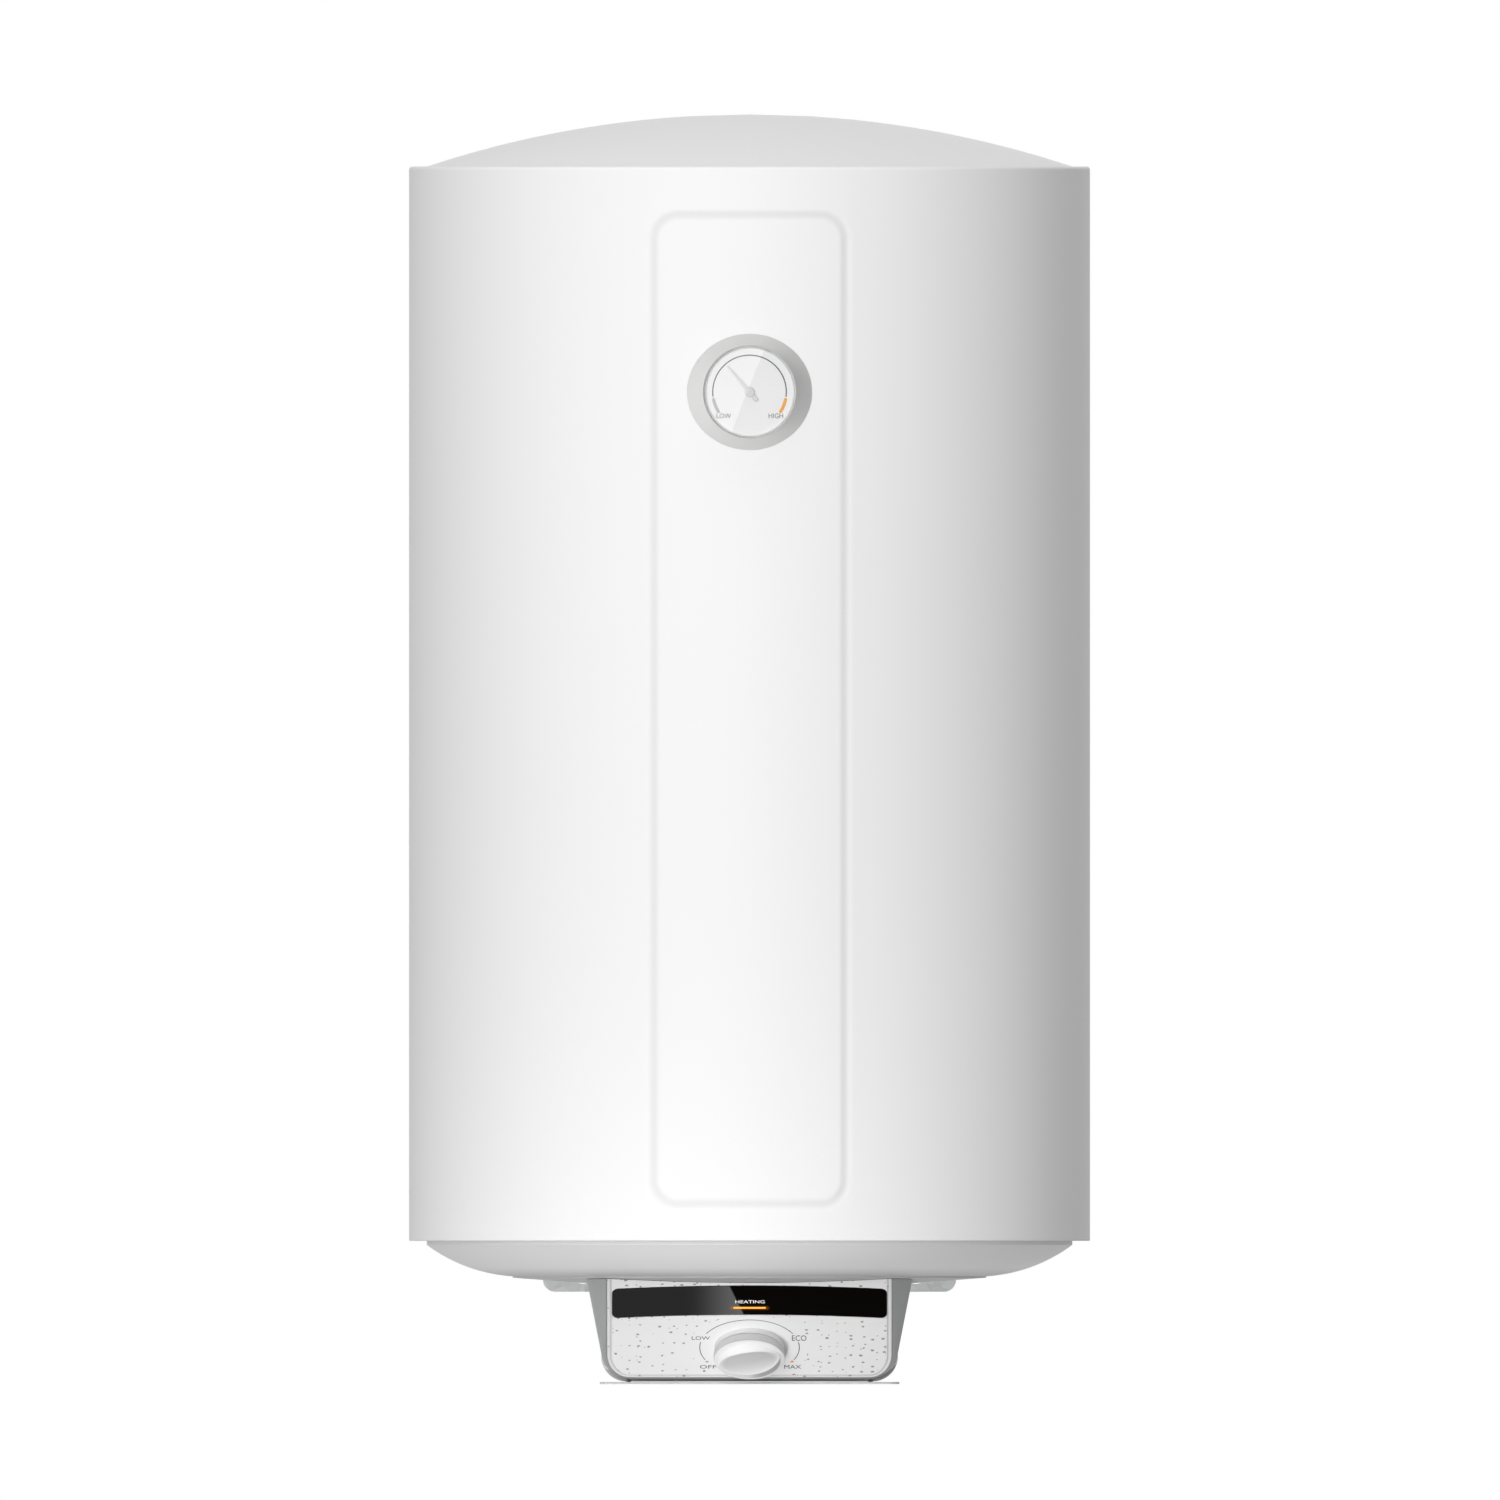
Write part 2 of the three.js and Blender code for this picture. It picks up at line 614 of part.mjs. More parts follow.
function accessScrew([x, y]) {
  return turned([
    [0, ACCESS.bottom], [SCREW.head, ACCESS.bottom], [SCREW.radius, ACCESS.top],
    [SCREW.radius, SCREW.top], [0, SCREW.top],
  ], 12).translate(x, y, 0);
}

// A gland with a hexagonal collar, for the supply cable, in the box's rear wall.
function cableGland() {
  const body = ring(GLAND.bore, GLAND.radius, -72, -50);
  const collar = ring(GLAND.radius - 1, GLAND.collar, -BOX.rear - 7, -BOX.rear - GAP, 6);
  return cut(join(body, collar), rod(GLAND.bore, -80, -40));
}

function controlPanel() {
  const lightSlot = block(
    [-LIGHT.half - 0.5, LIGHT.y - LIGHT.halfHeight - 0.5, -5],
    [LIGHT.half + 0.5, LIGHT.y + LIGHT.halfHeight + 0.5, 1],
  );
  return cut(
    extruded(panelShape(0), -PANEL.thick, 0),
    toPanel(dishSpace()),
    extruded(windowShape(GAP), -WINDOW.thick - GAP, 1),
    lightSlot,
    rod(SPINDLE.radius + 0.6, -5, 1).translate(0, -KNOB_DROP, 0),
  );
}

function displayWindow() {
  const lightSlot = block(
    [-LIGHT.half - GAP, LIGHT.y - LIGHT.halfHeight - GAP, -5],
    [LIGHT.half + GAP, LIGHT.y + LIGHT.halfHeight + GAP, 1],
  );
  return cut(extruded(windowShape(0), -WINDOW.thick, 0), lightSlot);
}

piece("control_box_housing", controlBoxHousing(), greyPlastic());
piece("access_cover", accessCover(), greyPlastic());
screwPlaces.forEach((place, i) => piece(`access_screw_${i + 1}`, accessScrew(place), zincSteel()));

const glandFrame = new THREE.Group();
glandFrame.position.set(GLAND.x, 0, GLAND.z);
glandFrame.rotation.x = Math.PI / 2;
heater.add(glandFrame);
piece("cable_gland", cableGland(), blackPlastic(), glandFrame);

const panelFrame = new THREE.Group();
panelFrame.applyMatrix4(panelMatrix);
heater.add(panelFrame);
piece("control_panel", controlPanel(), look(0xe6e6e4, 0.4), panelFrame);
piece("display_window", displayWindow(), look(0x0a0909, 0.08), panelFrame);
piece(
  "heating_indicator",
  block(
    [-LIGHT.half, LIGHT.y - LIGHT.halfHeight, -9],
    [LIGHT.half, LIGHT.y + LIGHT.halfHeight, -0.05],
  ),
  look(0xffa53a, 0.3),
  panelFrame,
);
piece("indicator_board", block([-30, -38, -11], [30, -24, -9.4]), look(0x1f6b3a, 0.5), panelFrame);

// ---------------------------------------------------------------- electrical parts
const knobFrame = new THREE.Group();
knobFrame.position.set(0, -KNOB_DROP, 0);
knobFrame.rotation.z = radians(KNOB_REST);
panelFrame.add(knobFrame);

function thermostatBody() {
  const { half, front, back } = THERMOSTAT;
  return cut(
    block([-half, -KNOB_DROP - half, back], [half, half - KNOB_DROP, front]),
    rod(SPINDLE.radius + GAP, SPINDLE.bottom - 1, 0).translate(0, -KNOB_DROP, 0),
  );
}

function knobSkirt() {
  const bore = SPINDLE.radius + GAP;
  return turned(
    [
      [bore, KNOB.seat], [KNOB.hub, KNOB.seat], [KNOB.hub, KNOB.hubTop],
      [KNOB.skirt, KNOB.hubTop], [KNOB.skirt, KNOB.skirtTop], [bore, KNOB.skirtTop],
    ],
    MEDIUM,
  );
}

// The grip's outline: two equal arcs that meet in a point at each end.
function gripOutline() {
  const { gripLength: length, gripWidth: width } = KNOB;
  const arcRadius = (length ** 2 + width ** 2) / (2 * width);
  const centre = arcRadius - width;
  const reach = Math.asin(length / arcRadius);
  const up = Math.PI / 2;
  const leaf = new THREE.Shape();
  leaf.absarc(0, centre, arcRadius, -up - reach, reach - up);
  leaf.absarc(0, -centre, arcRadius, up - reach, up + reach);
  return leaf;
}

function knobCap() {
  const disc = turned(
    [
      [0, KNOB.skirtTop + GAP], [KNOB.cap, KNOB.skirtTop + GAP], [KNOB.cap, KNOB.face - 0.6],
      [KNOB.cap - 0.6, KNOB.face], [0, KNOB.face],
    ],
    MEDIUM,
  );
  const grip = extruded(gripOutline(), KNOB.face - 0.5, KNOB.gripTop, 6);
  return cut(join(disc, grip), rod(SPINDLE.radius + GAP, 0, SPINDLE.top + GAP));
}

const CUTOUT = { low: [40, 33, -86], high: [66, 57.2, -64] };
const BUTTON = { x: 53, y: 45, radius: 3, bottom: -90.5, top: -80, travel: 2 };

function safetyCutout() {
  const bore = rod(BUTTON.radius + GAP, -100, BUTTON.top + BUTTON.travel + 1, 12);
  return cut(block(CUTOUT.low, CUTOUT.high), bore.translate(BUTTON.x, BUTTON.y, 0));
}

piece("thermostat_body", thermostatBody(), blackPlastic(), panelFrame);
piece("thermostat_spindle", rod(SPINDLE.radius, SPINDLE.bottom, SPINDLE.top), zincSteel(), knobFrame);
piece("knob_skirt", knobSkirt(), look(0xdcdcdc, 0.4), knobFrame);
piece("knob_cap", knobCap(), look(0xe8e8e8, 0.3), knobFrame);
piece("thermostat_rod", rod(3.5, -44, POCKET.top - 5, 12).translate(0, POCKET.y, 0), copper());
piece("safety_cutout", safetyCutout(), blackPlastic());
piece(
  "reset_button",
  rod(BUTTON.radius, BUTTON.bottom, BUTTON.top, 12).translate(BUTTON.x, BUTTON.y, 0),
  look(0xc0281e, 0.4),
);
piece("terminal_block", block([-25, 40, -75], [25, 57.2, -57]), look(0xe9e2cf, 0.5));
for (const [name, side, colour] of [["neutral_wire", -1, 0x2a62b8], ["live_wire", 1, 0x7a4a2a]]) {
  const route = [[10, 48, -56], [12, 40, -42], [22, 8, -33], [ELEMENT.x, 0, ELEMENT.bottom - 1]];
  const points = route.map(([x, y, z]) => [side * x, y, z]);
  piece(name, bentRod(points, 1.4, 12, 6), look(colour, 0.5));
}

// ---------------------------------------------------------------- temperature gauge
const gaugeFrame = new THREE.Group();
gaugeFrame.position.set(0, FRONT, GAUGE_Z);
gaugeFrame.rotation.x = Math.PI / 2;
heater.add(gaugeFrame);

// A conical ring whose back follows the jacket's curve.
function gaugeBezel() {
  const coneRadius = (z) => BEZEL.atJacket - BEZEL.slope * z;
  const cone = turned(
    [
      [BEZEL.bore, -7], [coneRadius(-7), -7], [coneRadius(BEZEL.top - 0.6), BEZEL.top - 0.6],
      [coneRadius(BEZEL.top) - 0.4, BEZEL.top], [BEZEL.lip, BEZEL.top],
      [BEZEL.lip, LENS.front + GAP], [BEZEL.bore, LENS.front + GAP],
    ],
    MEDIUM,
  );
  const jacketSpace = rod(JACKET_RADIUS + GAP, -100, 100, FINE)
    .rotateX(-Math.PI / 2)
    .translate(0, 0, FRONT);
  return cut(cone, jacketSpace);
}

function gaugeCase() {
  const cup = turned(
    [
      [0, CASE.back], [CASE.radius, CASE.back], [CASE.radius, CASE.front],
      [CASE.inner, CASE.front], [CASE.inner, CASE.back + 1.5], [0, CASE.back + 1.5],
    ],
    MEDIUM,
  );
  const capillaryHole = rod(1.6, 25, 40, 8).rotateX(Math.PI / 2).translate(0, 0, CASE.back + 6);
  return cut(cup, capillaryHole);
}

function gaugeNeedle() {
  const pointer = new THREE.Shape();
  pointer.moveTo(0.5, NEEDLE.tip);
  pointer.lineTo(-0.5, NEEDLE.tip);
  pointer.lineTo(-1.5, 0);
  pointer.absarc(0, -NEEDLE.tail + 1.6, 1.6, Math.PI, 2 * Math.PI);
  pointer.lineTo(1.5, 0);
  return join(
    extruded(pointer, NEEDLE.back, NEEDLE.front),
    rod(NEEDLE.hub, NEEDLE.back, NEEDLE.front + 0.5),
  );
}

function gaugeCapillary() {
  const start = GAUGE_Z - CASE.radius - GAP;
  const caseY = FRONT - CASE.back - 6;
  const points = [[0, caseY, start - 0.5], [0, caseY + 2, start - 5], [0, BULB.y, BULB.top + 1]];
  return bentRod(points, 1.1, 6, 6);
}

piece("gauge_bezel", gaugeBezel(), look(0xc4c4c2, 0.35, 0.8), gaugeFrame);
piece("gauge_case", gaugeCase(), blackPlastic(), gaugeFrame);
piece(
  "gauge_movement",
  ring(ARBOR.radius + GAP, 14, CASE.back + 2, -5),
  look(0xb99b4c, 0.4, 0.8),
  gaugeFrame,
);
piece("gauge_dial", ring(ARBOR.radius + GAP, DIAL.radius, DIAL.back, DIAL.front, MEDIUM),
  look(0xf2f2f2, 0.5), gaugeFrame);
piece("gauge_lens", rod(CASE.radius, LENS.back, LENS.front, MEDIUM), look(0xf8f8f8, 0.05), gaugeFrame);
piece("gauge_capillary", gaugeCapillary(), copper());
piece(
  "gauge_sensor_bulb",
  rod(BULB.radius, BULB.bottom, BULB.top, 12).translate(0, BULB.y, 0),
  copper(),
);

const needleFrame = new THREE.Group();
needleFrame.rotation.z = radians(NEEDLE_REST);
gaugeFrame.add(needleFrame);
piece("gauge_needle", gaugeNeedle(), look(0xe2e2e2, 0.45), needleFrame);
piece("gauge_arbor", rod(ARBOR.radius, ARBOR.back, ARBOR.front, 12), zincSteel(), needleFrame);

// ---------------------------------------------------------------- wall mounting
// A flat bar whose two slots open downwards, so that the heater drops over its wall bolts.
function upperWallBracket() {
  const plate = roundedRectangle(PLATE.half, UPPER_PLATE.low, UPPER_PLATE.high, 8);
  const slots = SIDES.map(([, side]) =>
    join(
      block(
        [side * UPPER_PLATE.slotX - PLATE.slotHalf, REAR - 10, UPPER_PLATE.low - 1],
        [side * UPPER_PLATE.slotX + PLATE.slotHalf, REAR + 1, UPPER_PLATE.slotTop],
      ),
      rod(PLATE.slotHalf, -REAR - 1, 10 - REAR)
        .rotateX(Math.PI / 2)
        .translate(side * UPPER_PLATE.slotX, 0, UPPER_PLATE.slotTop),
    ),
  );
  return cut(frontPlate(plate, REAR, REAR - PLATE.thick), ...slots);
}

// A low bar with two legs up to the arms, and a slot near each end for a wall bolt.
function lowerWallBracket() {
  const bar = roundedRectangle(PLATE.half, LOWER_PLATE.low, LOWER_PLATE.high, 8);
  const inner = ARM_X - LOWER_PLATE.legHalf;
  const outer = ARM_X + LOWER_PLATE.legHalf;
  const legs = SIDES.map(([, side]) => {
    const [left, right] = side < 0 ? [-outer, -inner] : [inner, outer];
    return block(
      [left, REAR - PLATE.thick, LOWER_PLATE.high - 5],
      [right, REAR, LOWER_PLATE.legTop],
    );
  });
  const slots = SIDES.map(([, side]) =>
    frontPlate(
      roundedRectangle(
        PLATE.slotHalf,
        LOWER_PLATE.holeLow - PLATE.slotHalf,
        LOWER_PLATE.holeHigh + PLATE.slotHalf,
        PLATE.slotHalf - 0.1,
      ),
      REAR + 1,
      REAR - 10,
    ).translate(side * LOWER_PLATE.holeX, 0, 0),
  );
  return cut(join(frontPlate(bar, REAR, REAR - PLATE.thick), ...legs), ...slots);
}

// A rib set on edge, from the bracket through the jacket to the tank's wall.
function bracketArm(arm, side) {
  return cut(
    armBox(arm, side, 0, 150, REAR - PLATE.thick - GAP),
    rod(TANK.radius + GAP, arm.z - 50, arm.z + 50, INNER),
  );
}

piece("upper_wall_bracket", upperWallBracket(), zincSteel());
piece("lower_wall_bracket", lowerWallBracket(), zincSteel());
for (const arm of ARMS) {
  for (const [sideName, side] of SIDES) {
    piece(`${arm.name}_${sideName}`, bracketArm(arm, side), zincSteel());
  }
}

export default waterHeater;
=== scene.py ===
import json
import math

import bmesh
import bpy
from mathutils import Matrix, Vector


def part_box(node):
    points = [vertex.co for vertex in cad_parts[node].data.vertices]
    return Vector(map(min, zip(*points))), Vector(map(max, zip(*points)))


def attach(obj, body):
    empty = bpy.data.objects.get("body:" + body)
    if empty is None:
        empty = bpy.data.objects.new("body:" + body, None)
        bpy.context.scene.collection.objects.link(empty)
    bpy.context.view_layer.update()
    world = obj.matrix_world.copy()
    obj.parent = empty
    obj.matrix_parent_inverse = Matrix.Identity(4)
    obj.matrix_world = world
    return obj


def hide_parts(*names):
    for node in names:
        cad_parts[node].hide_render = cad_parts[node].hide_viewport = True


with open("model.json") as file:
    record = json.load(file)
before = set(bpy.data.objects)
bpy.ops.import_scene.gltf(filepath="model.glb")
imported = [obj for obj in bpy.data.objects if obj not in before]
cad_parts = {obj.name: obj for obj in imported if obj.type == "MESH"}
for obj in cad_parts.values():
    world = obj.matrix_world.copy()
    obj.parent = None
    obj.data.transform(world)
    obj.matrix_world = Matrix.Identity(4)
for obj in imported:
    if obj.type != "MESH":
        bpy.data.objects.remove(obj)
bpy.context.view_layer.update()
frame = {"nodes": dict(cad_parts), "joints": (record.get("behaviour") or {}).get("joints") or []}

# ---------------- places, from the frame
# Pieces are drawn in millimetres in a local frame, and a matrix puts them in the row's metres.
MM = 0.001
GAP = 0.3  # clearance that the CAD model keeps between pieces
jacket_low, jacket_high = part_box("outer_jacket")
RADIUS = (jacket_high.x - jacket_low.x) / 2 / MM
HEIGHT = (jacket_high.z - jacket_low.z) / MM
HEATER = Matrix.Translation((0, jacket_low.y + RADIUS * MM, jacket_low.z)) @ Matrix.Scale(MM, 4)
TO_HEATER = HEATER.inverted()


def node_box(node):
    """A CAD node's corners in the heater's frame: tank axis at x = y = 0, jacket from z = 0."""
    low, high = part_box(node)
    return TO_HEATER @ low, TO_HEATER @ high


def joint_named(name):
    return next(joint for joint in frame["joints"] if joint["name"] == name)


def facing(place, outward):
    """A frame with z along an outward direction that has no x part, x across and y upwards."""
    z = Vector(outward).normalized()
    x = Vector((1, 0, 0))
    turn = Matrix((x, z.cross(x), z)).transposed().to_4x4()
    return Matrix.Translation(place) @ turn @ Matrix.Scale(MM, 4)


# The knob's joint lies on the control panel's face, and the needle's on the gauge's axis.
KNOB_DROP = 77.6  # down the panel's slope from its top edge to the knob
KNOB_REST = math.radians(19)  # from the panel's x to the grip's pointed end
NEEDLE_REST = math.radians(40.5)  # anticlockwise from straight up
knob_joint = joint_named("knob_turn")
needle_joint = joint_named("gauge_needle_turn")
KNOB_SEAT = facing(knob_joint["pos_m"], knob_joint["axis"])
PANEL = KNOB_SEAT @ Matrix.Translation((0, KNOB_DROP, 0))
KNOB = KNOB_SEAT @ Matrix.Rotation(KNOB_REST, 4, "Z")
gauge_height = (TO_HEATER @ Vector(needle_joint["pos_m"])).z
GAUGE = facing(HEATER @ Vector((0, -RADIUS, gauge_height)), needle_joint["axis"])
NEEDLE = GAUGE @ Matrix.Rotation(NEEDLE_REST, 4, "Z")
PANEL_IN_HEATER = TO_HEATER @ PANEL


def placed(name, data):
    """A new object in the scene."""
    made = bpy.data.objects.new(name, data)
    bpy.context.scene.collection.objects.link(made)
    return made


# ---------------- camera
VIEW_WIDTH = 0.9912  # metres across the square picture
VIEW_FROM = (0.0003, -4, -0.2156)  # straight in front, level with the picture's middle
camera_data = bpy.data.cameras.new("camera")
camera_data.type = "ORTHO"
camera_data.ortho_scale = VIEW_WIDTH
camera_data.clip_end = 20
camera = placed("camera", camera_data)
camera.location = VIEW_FROM
camera.rotation_euler = (math.pi / 2, 0, 0)
bpy.context.scene.camera = camera
bpy.context.scene.view_settings.view_transform = "Standard"


# ---------------- shapes: (points, faces)
def loft(rows, closed=False, capped=False):
    """Loops of points joined by four-sided faces. A closed loft's last loop meets its first."""
    count = len(rows[0])
    points = [point for row in rows for point in row]
    faces = []
    for i in range(len(rows) if closed else len(rows) - 1):
        here = i * count
        after = (i + 1) % len(rows) * count
        for k in range(count):
            m = (k + 1) % count
            faces.append((here + k, here + m, after + m, after + k))
    if capped:
        faces.append(tuple(range(count)))
        faces.append(tuple(range(len(points) - count, len(points))))
    return points, faces


def full_turn(sides):
    """Angles spaced evenly round a circle."""
    return [2 * math.pi * k / sides for k in range(sides)]


def on_circle(radius, turns):
    """The (x, y) points at a radius. Angles run anticlockwise from +x."""
    return [(radius * math.cos(a), radius * math.sin(a)) for a in turns]


def turned(profile, sides):
    """A (radius, z) profile turned about z. It is closed here unless it starts on the axis."""
    rows = [[(x, y, z) for x, y in on_circle(r, full_turn(sides))] for r, z in profile]
    return loft(rows, closed=profile[0][0] > 0)


def prism(outline, low, high):
    return loft([[(x, y, z) for x, y in outline] for z in (low, high)], capped=True)


def disc(radius, low, high, sides=64):
    return turned([(0, low), (radius, low), (radius, high), (0, high)], sides)


def block(low, high):
    return prism(rectangle(low, high, 0), low[2], high[2])


def moved(shape, matrix):
    points, faces = shape
    return [tuple(matrix @ Vector(point)) for point in points], faces


def shifted(shape, x, y, z=0):
    return moved(shape, Matrix.Translation((x, y, z)))


STAND_UP = Matrix.Rotation(math.pi / 2, 4, "X")  # z turns to the front, and y upwards


def upright(outline, front, back):
    """A prism along y, from an outline in x and z."""
    return moved(prism(outline, -back, -front), STAND_UP)


def together(*shapes):
    points = []
    faces = []
    for more_points, more_faces in shapes:
        start = len(points)
        points += more_points
        faces += [tuple(start + corner for corner in face) for face in more_faces]
    return points, faces


def mesh_of(shape):
    points, faces = shape
    mesh = bpy.data.meshes.new("shape")
    mesh.from_pydata(points, [], faces)
    work = bmesh.new()
    work.from_mesh(mesh)
    bmesh.ops.remove_doubles(work, verts=work.verts, dist=1e-4)
    bmesh.ops.recalc_face_normals(work, faces=work.faces)
    work.to_mesh(mesh)
    work.free()
    return mesh


def work_object(shape):
    return placed("work", mesh_of(shape))


def as_evaluated(made, helpers=()):
    """The shape of an object with its modifiers applied. The object and its helpers go."""
    ready = made.evaluated_get(bpy.context.evaluated_depsgraph_get())
    mesh = bpy.data.meshes.new_from_object(ready)
    points = [tuple(vertex.co) for vertex in mesh.vertices]
    faces = [tuple(polygon.vertices) for polygon in mesh.polygons]
    bpy.data.meshes.remove(mesh)
    for unwanted in (made, *helpers):
        bpy.data.objects.remove(unwanted)
    return points, faces


def combined(operation, shape, tools):
    base = work_object(shape)
    helpers = [work_object(tool) for tool in tools]
    for helper in helpers:
        step = base.modifiers.new("step", "BOOLEAN")
        step.operation = operation
        step.solver = "EXACT"
        step.object = helper
    return as_evaluated(base, helpers)


def cut(shape, *tools):
    return combined("DIFFERENCE", shape, tools)


def joined(shape, *tools):
    return combined("UNION", shape, tools)


def eased(shape, width, segments, angle=40):
    """The shape with its edges rounded over."""
    base = work_object(shape)
    bevel = base.modifiers.new("bevel", "BEVEL")
    bevel.width = width
    bevel.segments = segments
    bevel.limit_method = "ANGLE"
    bevel.angle_limit = math.radians(angle)
    return as_evaluated(base)


# ---------------- outlines: (x, y) points
def filleted(corners, steps=4):
    """A closed outline of (x, y, radius) corners, each rounded by its radius."""
    outline = []
    for i, (x, y, radius) in enumerate(corners):
        here = Vector((x, y))
        if radius == 0:
            outline.append((x, y))
            continue
        back = (Vector(corners[i - 1][:2]) - here).normalized()
        ahead = (Vector(corners[(i + 1) % len(corners)][:2]) - here).normalized()
        half = back.angle(ahead) / 2
        centre = here + (back + ahead).normalized() * radius / math.sin(half)
        start = here + back * radius / math.tan(half) - centre
        end = here + ahead * radius / math.tan(half) - centre
        for k in range(steps + 1):
            outline.append(tuple(centre + start.lerp(end, k / steps).normalized() * radius))
    return outline


def rectangle(low, high, radius, steps=6):
    corners = [(low[0], low[1]), (high[0], low[1]), (high[0], high[1]), (low[0], high[1])]
    return filleted([(x, y, radius) for x, y in corners], steps)


def arc_band(radius, start, end, width, steps=32):
    """The outline of a line drawn along an arc. Angles run clockwise from +y, in degrees."""
    turns = [math.radians(start + (end - start) * k / steps) for k in range(steps + 1)]

    def edge(r):
        return [(r * math.sin(a), r * math.cos(a)) for a in turns]

    return edge(radius + width / 2) + edge(radius - width / 2)[::-1]


def spread(start, end, step):
    """Evenly spaced values from start up to, but not including, end."""
    count = max(1, round(abs(end - start) / step))
    return [start + (end - start) * k / count for k in range(count)]


def quarter(steps):
    """(sine, cosine) pairs from 0 to 90 degrees."""
    turns = [math.pi / 2 * k / steps for k in range(steps + 1)]
    return [(math.sin(a), math.cos(a)) for a in turns]


# ---------------- materials
def new_material(name, colour, roughness, metallic=0.0, **sockets):
    material = bpy.data.materials.new(name)
    material.use_nodes = True
    shader = material.node_tree.nodes["Principled BSDF"]
    shader.inputs["Base Color"].default_value = (*colour, 1)
    shader.inputs["Roughness"].default_value = roughness
    shader.inputs["Metallic"].default_value = metallic
    for socket, value in sockets.items():
        shader.inputs[socket.replace("_", " ")].default_value = value
    return material


class Nodes:
    """Short ways to add nodes to a material or to the world."""

    def __init__(self, owner):
        self.tree = owner.node_tree
        self.shader = self.tree.nodes.get("Principled BSDF")

    def add(self, kind, links=(), **settings):
        node = self.tree.nodes.new(kind)
        for key, value in settings.items():
            setattr(node, key, value)
        for socket, source in dict(links).items():
            if isinstance(source, bpy.types.NodeSocket):
                self.tree.links.new(source, node.inputs[socket])
            else:
                node.inputs[socket].default_value = source
        return node

    def place(self):
        """The point on the object, in metres in the row's frame."""
        return self.add("ShaderNodeTexCoord").outputs["Object"]

    def noise(self, vector, scale, detail=2.0):
        links = {"Vector": vector, "Scale": scale, "Detail": detail}
        return self.add("ShaderNodeTexNoise", links).outputs["Fac"]

    def remap(self, value, old_low, old_high, new_low, new_high):
        numbers = {1: old_low, 2: old_high, 3: new_low, 4: new_high}
        node = self.add("ShaderNodeMapRange", {"Value": value, **numbers})
        return node.outputs["Result"]

    def sums(self, operation, *values):
        links = dict(enumerate(values))
        return self.add("ShaderNodeMath", links, operation=operation).outputs[0]

    def blend(self, factor, first, second):
        """Two colours mixed."""
        links = {0: factor, 6: first, 7: second}
        return self.add("ShaderNodeMix", links, data_type="RGBA").outputs[2]

    def drive(self, socket, source):
        self.tree.links.new(source, self.shader.inputs[socket])

    def bump(self, height, metres):
        links = {"Height": height, "Distance": metres, "Strength": 1.0}
        self.drive("Normal", self.add("ShaderNodeBump", links).outputs["Normal"])


DRIFT = 14.0  # slow changes of colour in a metre


def textured(name, colour, roughness, grain, depth, shade, metallic=0.0, **more):
    """A surface with fine grain: bump and roughness at one scale, and colour drift at a larger one.

    grain is the size of the grain in millimetres, depth the height of its bump, and shade how
    much darker the drift's dark places are.
    """
    material = new_material(name, colour, roughness, metallic, **more)
    nodes = Nodes(material)
    place = nodes.place()
    fine = nodes.noise(place, 1 / (grain * MM), 3.0)
    drift = nodes.noise(place, DRIFT, 3.0)
    dark = tuple(value * (1 - shade) for value in colour)
    nodes.drive("Base Color", nodes.blend(drift, (*colour, 1), (*dark, 1)))
    rough_low = max(roughness - 0.05, 0.02)
    nodes.drive("Roughness", nodes.remap(fine, 0.3, 0.7, rough_low, roughness + 0.05))
    nodes.bump(fine, depth * MM)
    return material


WHITE = (0.86, 0.86, 0.86)
box_plastic = textured("grey_box_plastic", (0.32, 0.325, 0.325), 0.42, 0.6, 0.015, shade=0.04)
shell_plastic = textured("light_grey_plastic", (0.55, 0.555, 0.555), 0.42, 0.6, 0.015, shade=0.04)
knob_grey = textured("grey_knob_plastic", (0.56, 0.56, 0.56), 0.4, 0.5, 0.008, shade=0.03)
boss_plastic = textured("white_boss_plastic", (0.70, 0.70, 0.70), 0.4, 0.7, 0.006, shade=0.01)
black_plastic = textured("black_plastic", (0.018, 0.018, 0.02), 0.45, 0.4, 0.02, shade=0.2)
red_plastic = textured("red_plastic", (0.55, 0.035, 0.025), 0.35, 0.5, 0.01, shade=0.1)
blue_plastic = textured("blue_plastic", (0.03, 0.12, 0.45), 0.35, 0.5, 0.01, shade=0.1)
inner_plastic = textured("natural_plastic", (0.75, 0.74, 0.7), 0.5, 0.8, 0.02, shade=0.06)
foam = textured("insulating_foam", (0.72, 0.6, 0.33), 0.9, 1.6, 0.6, shade=0.3)
enamel = textured("blue_glass_enamel", (0.03, 0.075, 0.15), 0.22, 1.2, 0.03, shade=0.4)
rubber = textured("seal_rubber", (0.02, 0.02, 0.02), 0.75, 0.5, 0.03, shade=0.3)
copper = textured("copper", (0.72, 0.35, 0.22), 0.32, 0.8, 0.01, shade=0.3, metallic=1.0)
magnesium = textured("cast_magnesium", (0.42, 0.42, 0.4), 0.7, 1.5, 0.1, shade=0.3, metallic=0.7)
brass = textured("brass", (0.7, 0.52, 0.22), 0.3, 0.6, 0.006, shade=0.2, metallic=1.0)
board_green = textured("circuit_board", (0.02, 0.16, 0.06), 0.4, 0.9, 0.03, shade=0.4)
brown_wire = textured("brown_wire", (0.2, 0.08, 0.03), 0.45, 0.6, 0.01, shade=0.15)
blue_wire = textured("blue_wire", (0.02, 0.1, 0.4), 0.45, 0.6, 0.01, shade=0.15)
bezel_metal = textured(
    "satin_silver", (0.74, 0.74, 0.735), 0.36, 0.35, 0.004, shade=0.03, metallic=0.9,
)
dial_white = textured("dial_white", (0.78, 0.78, 0.78), 0.55, 0.4, 0.004, shade=0.01)
needle_white = textured("needle_white", (0.6, 0.6, 0.6), 0.4, 0.4, 0.004, shade=0.01)
dark_ink = textured("dark_grey_ink", (0.055, 0.055, 0.06), 0.5, 0.2, 0.003, shade=0.1)
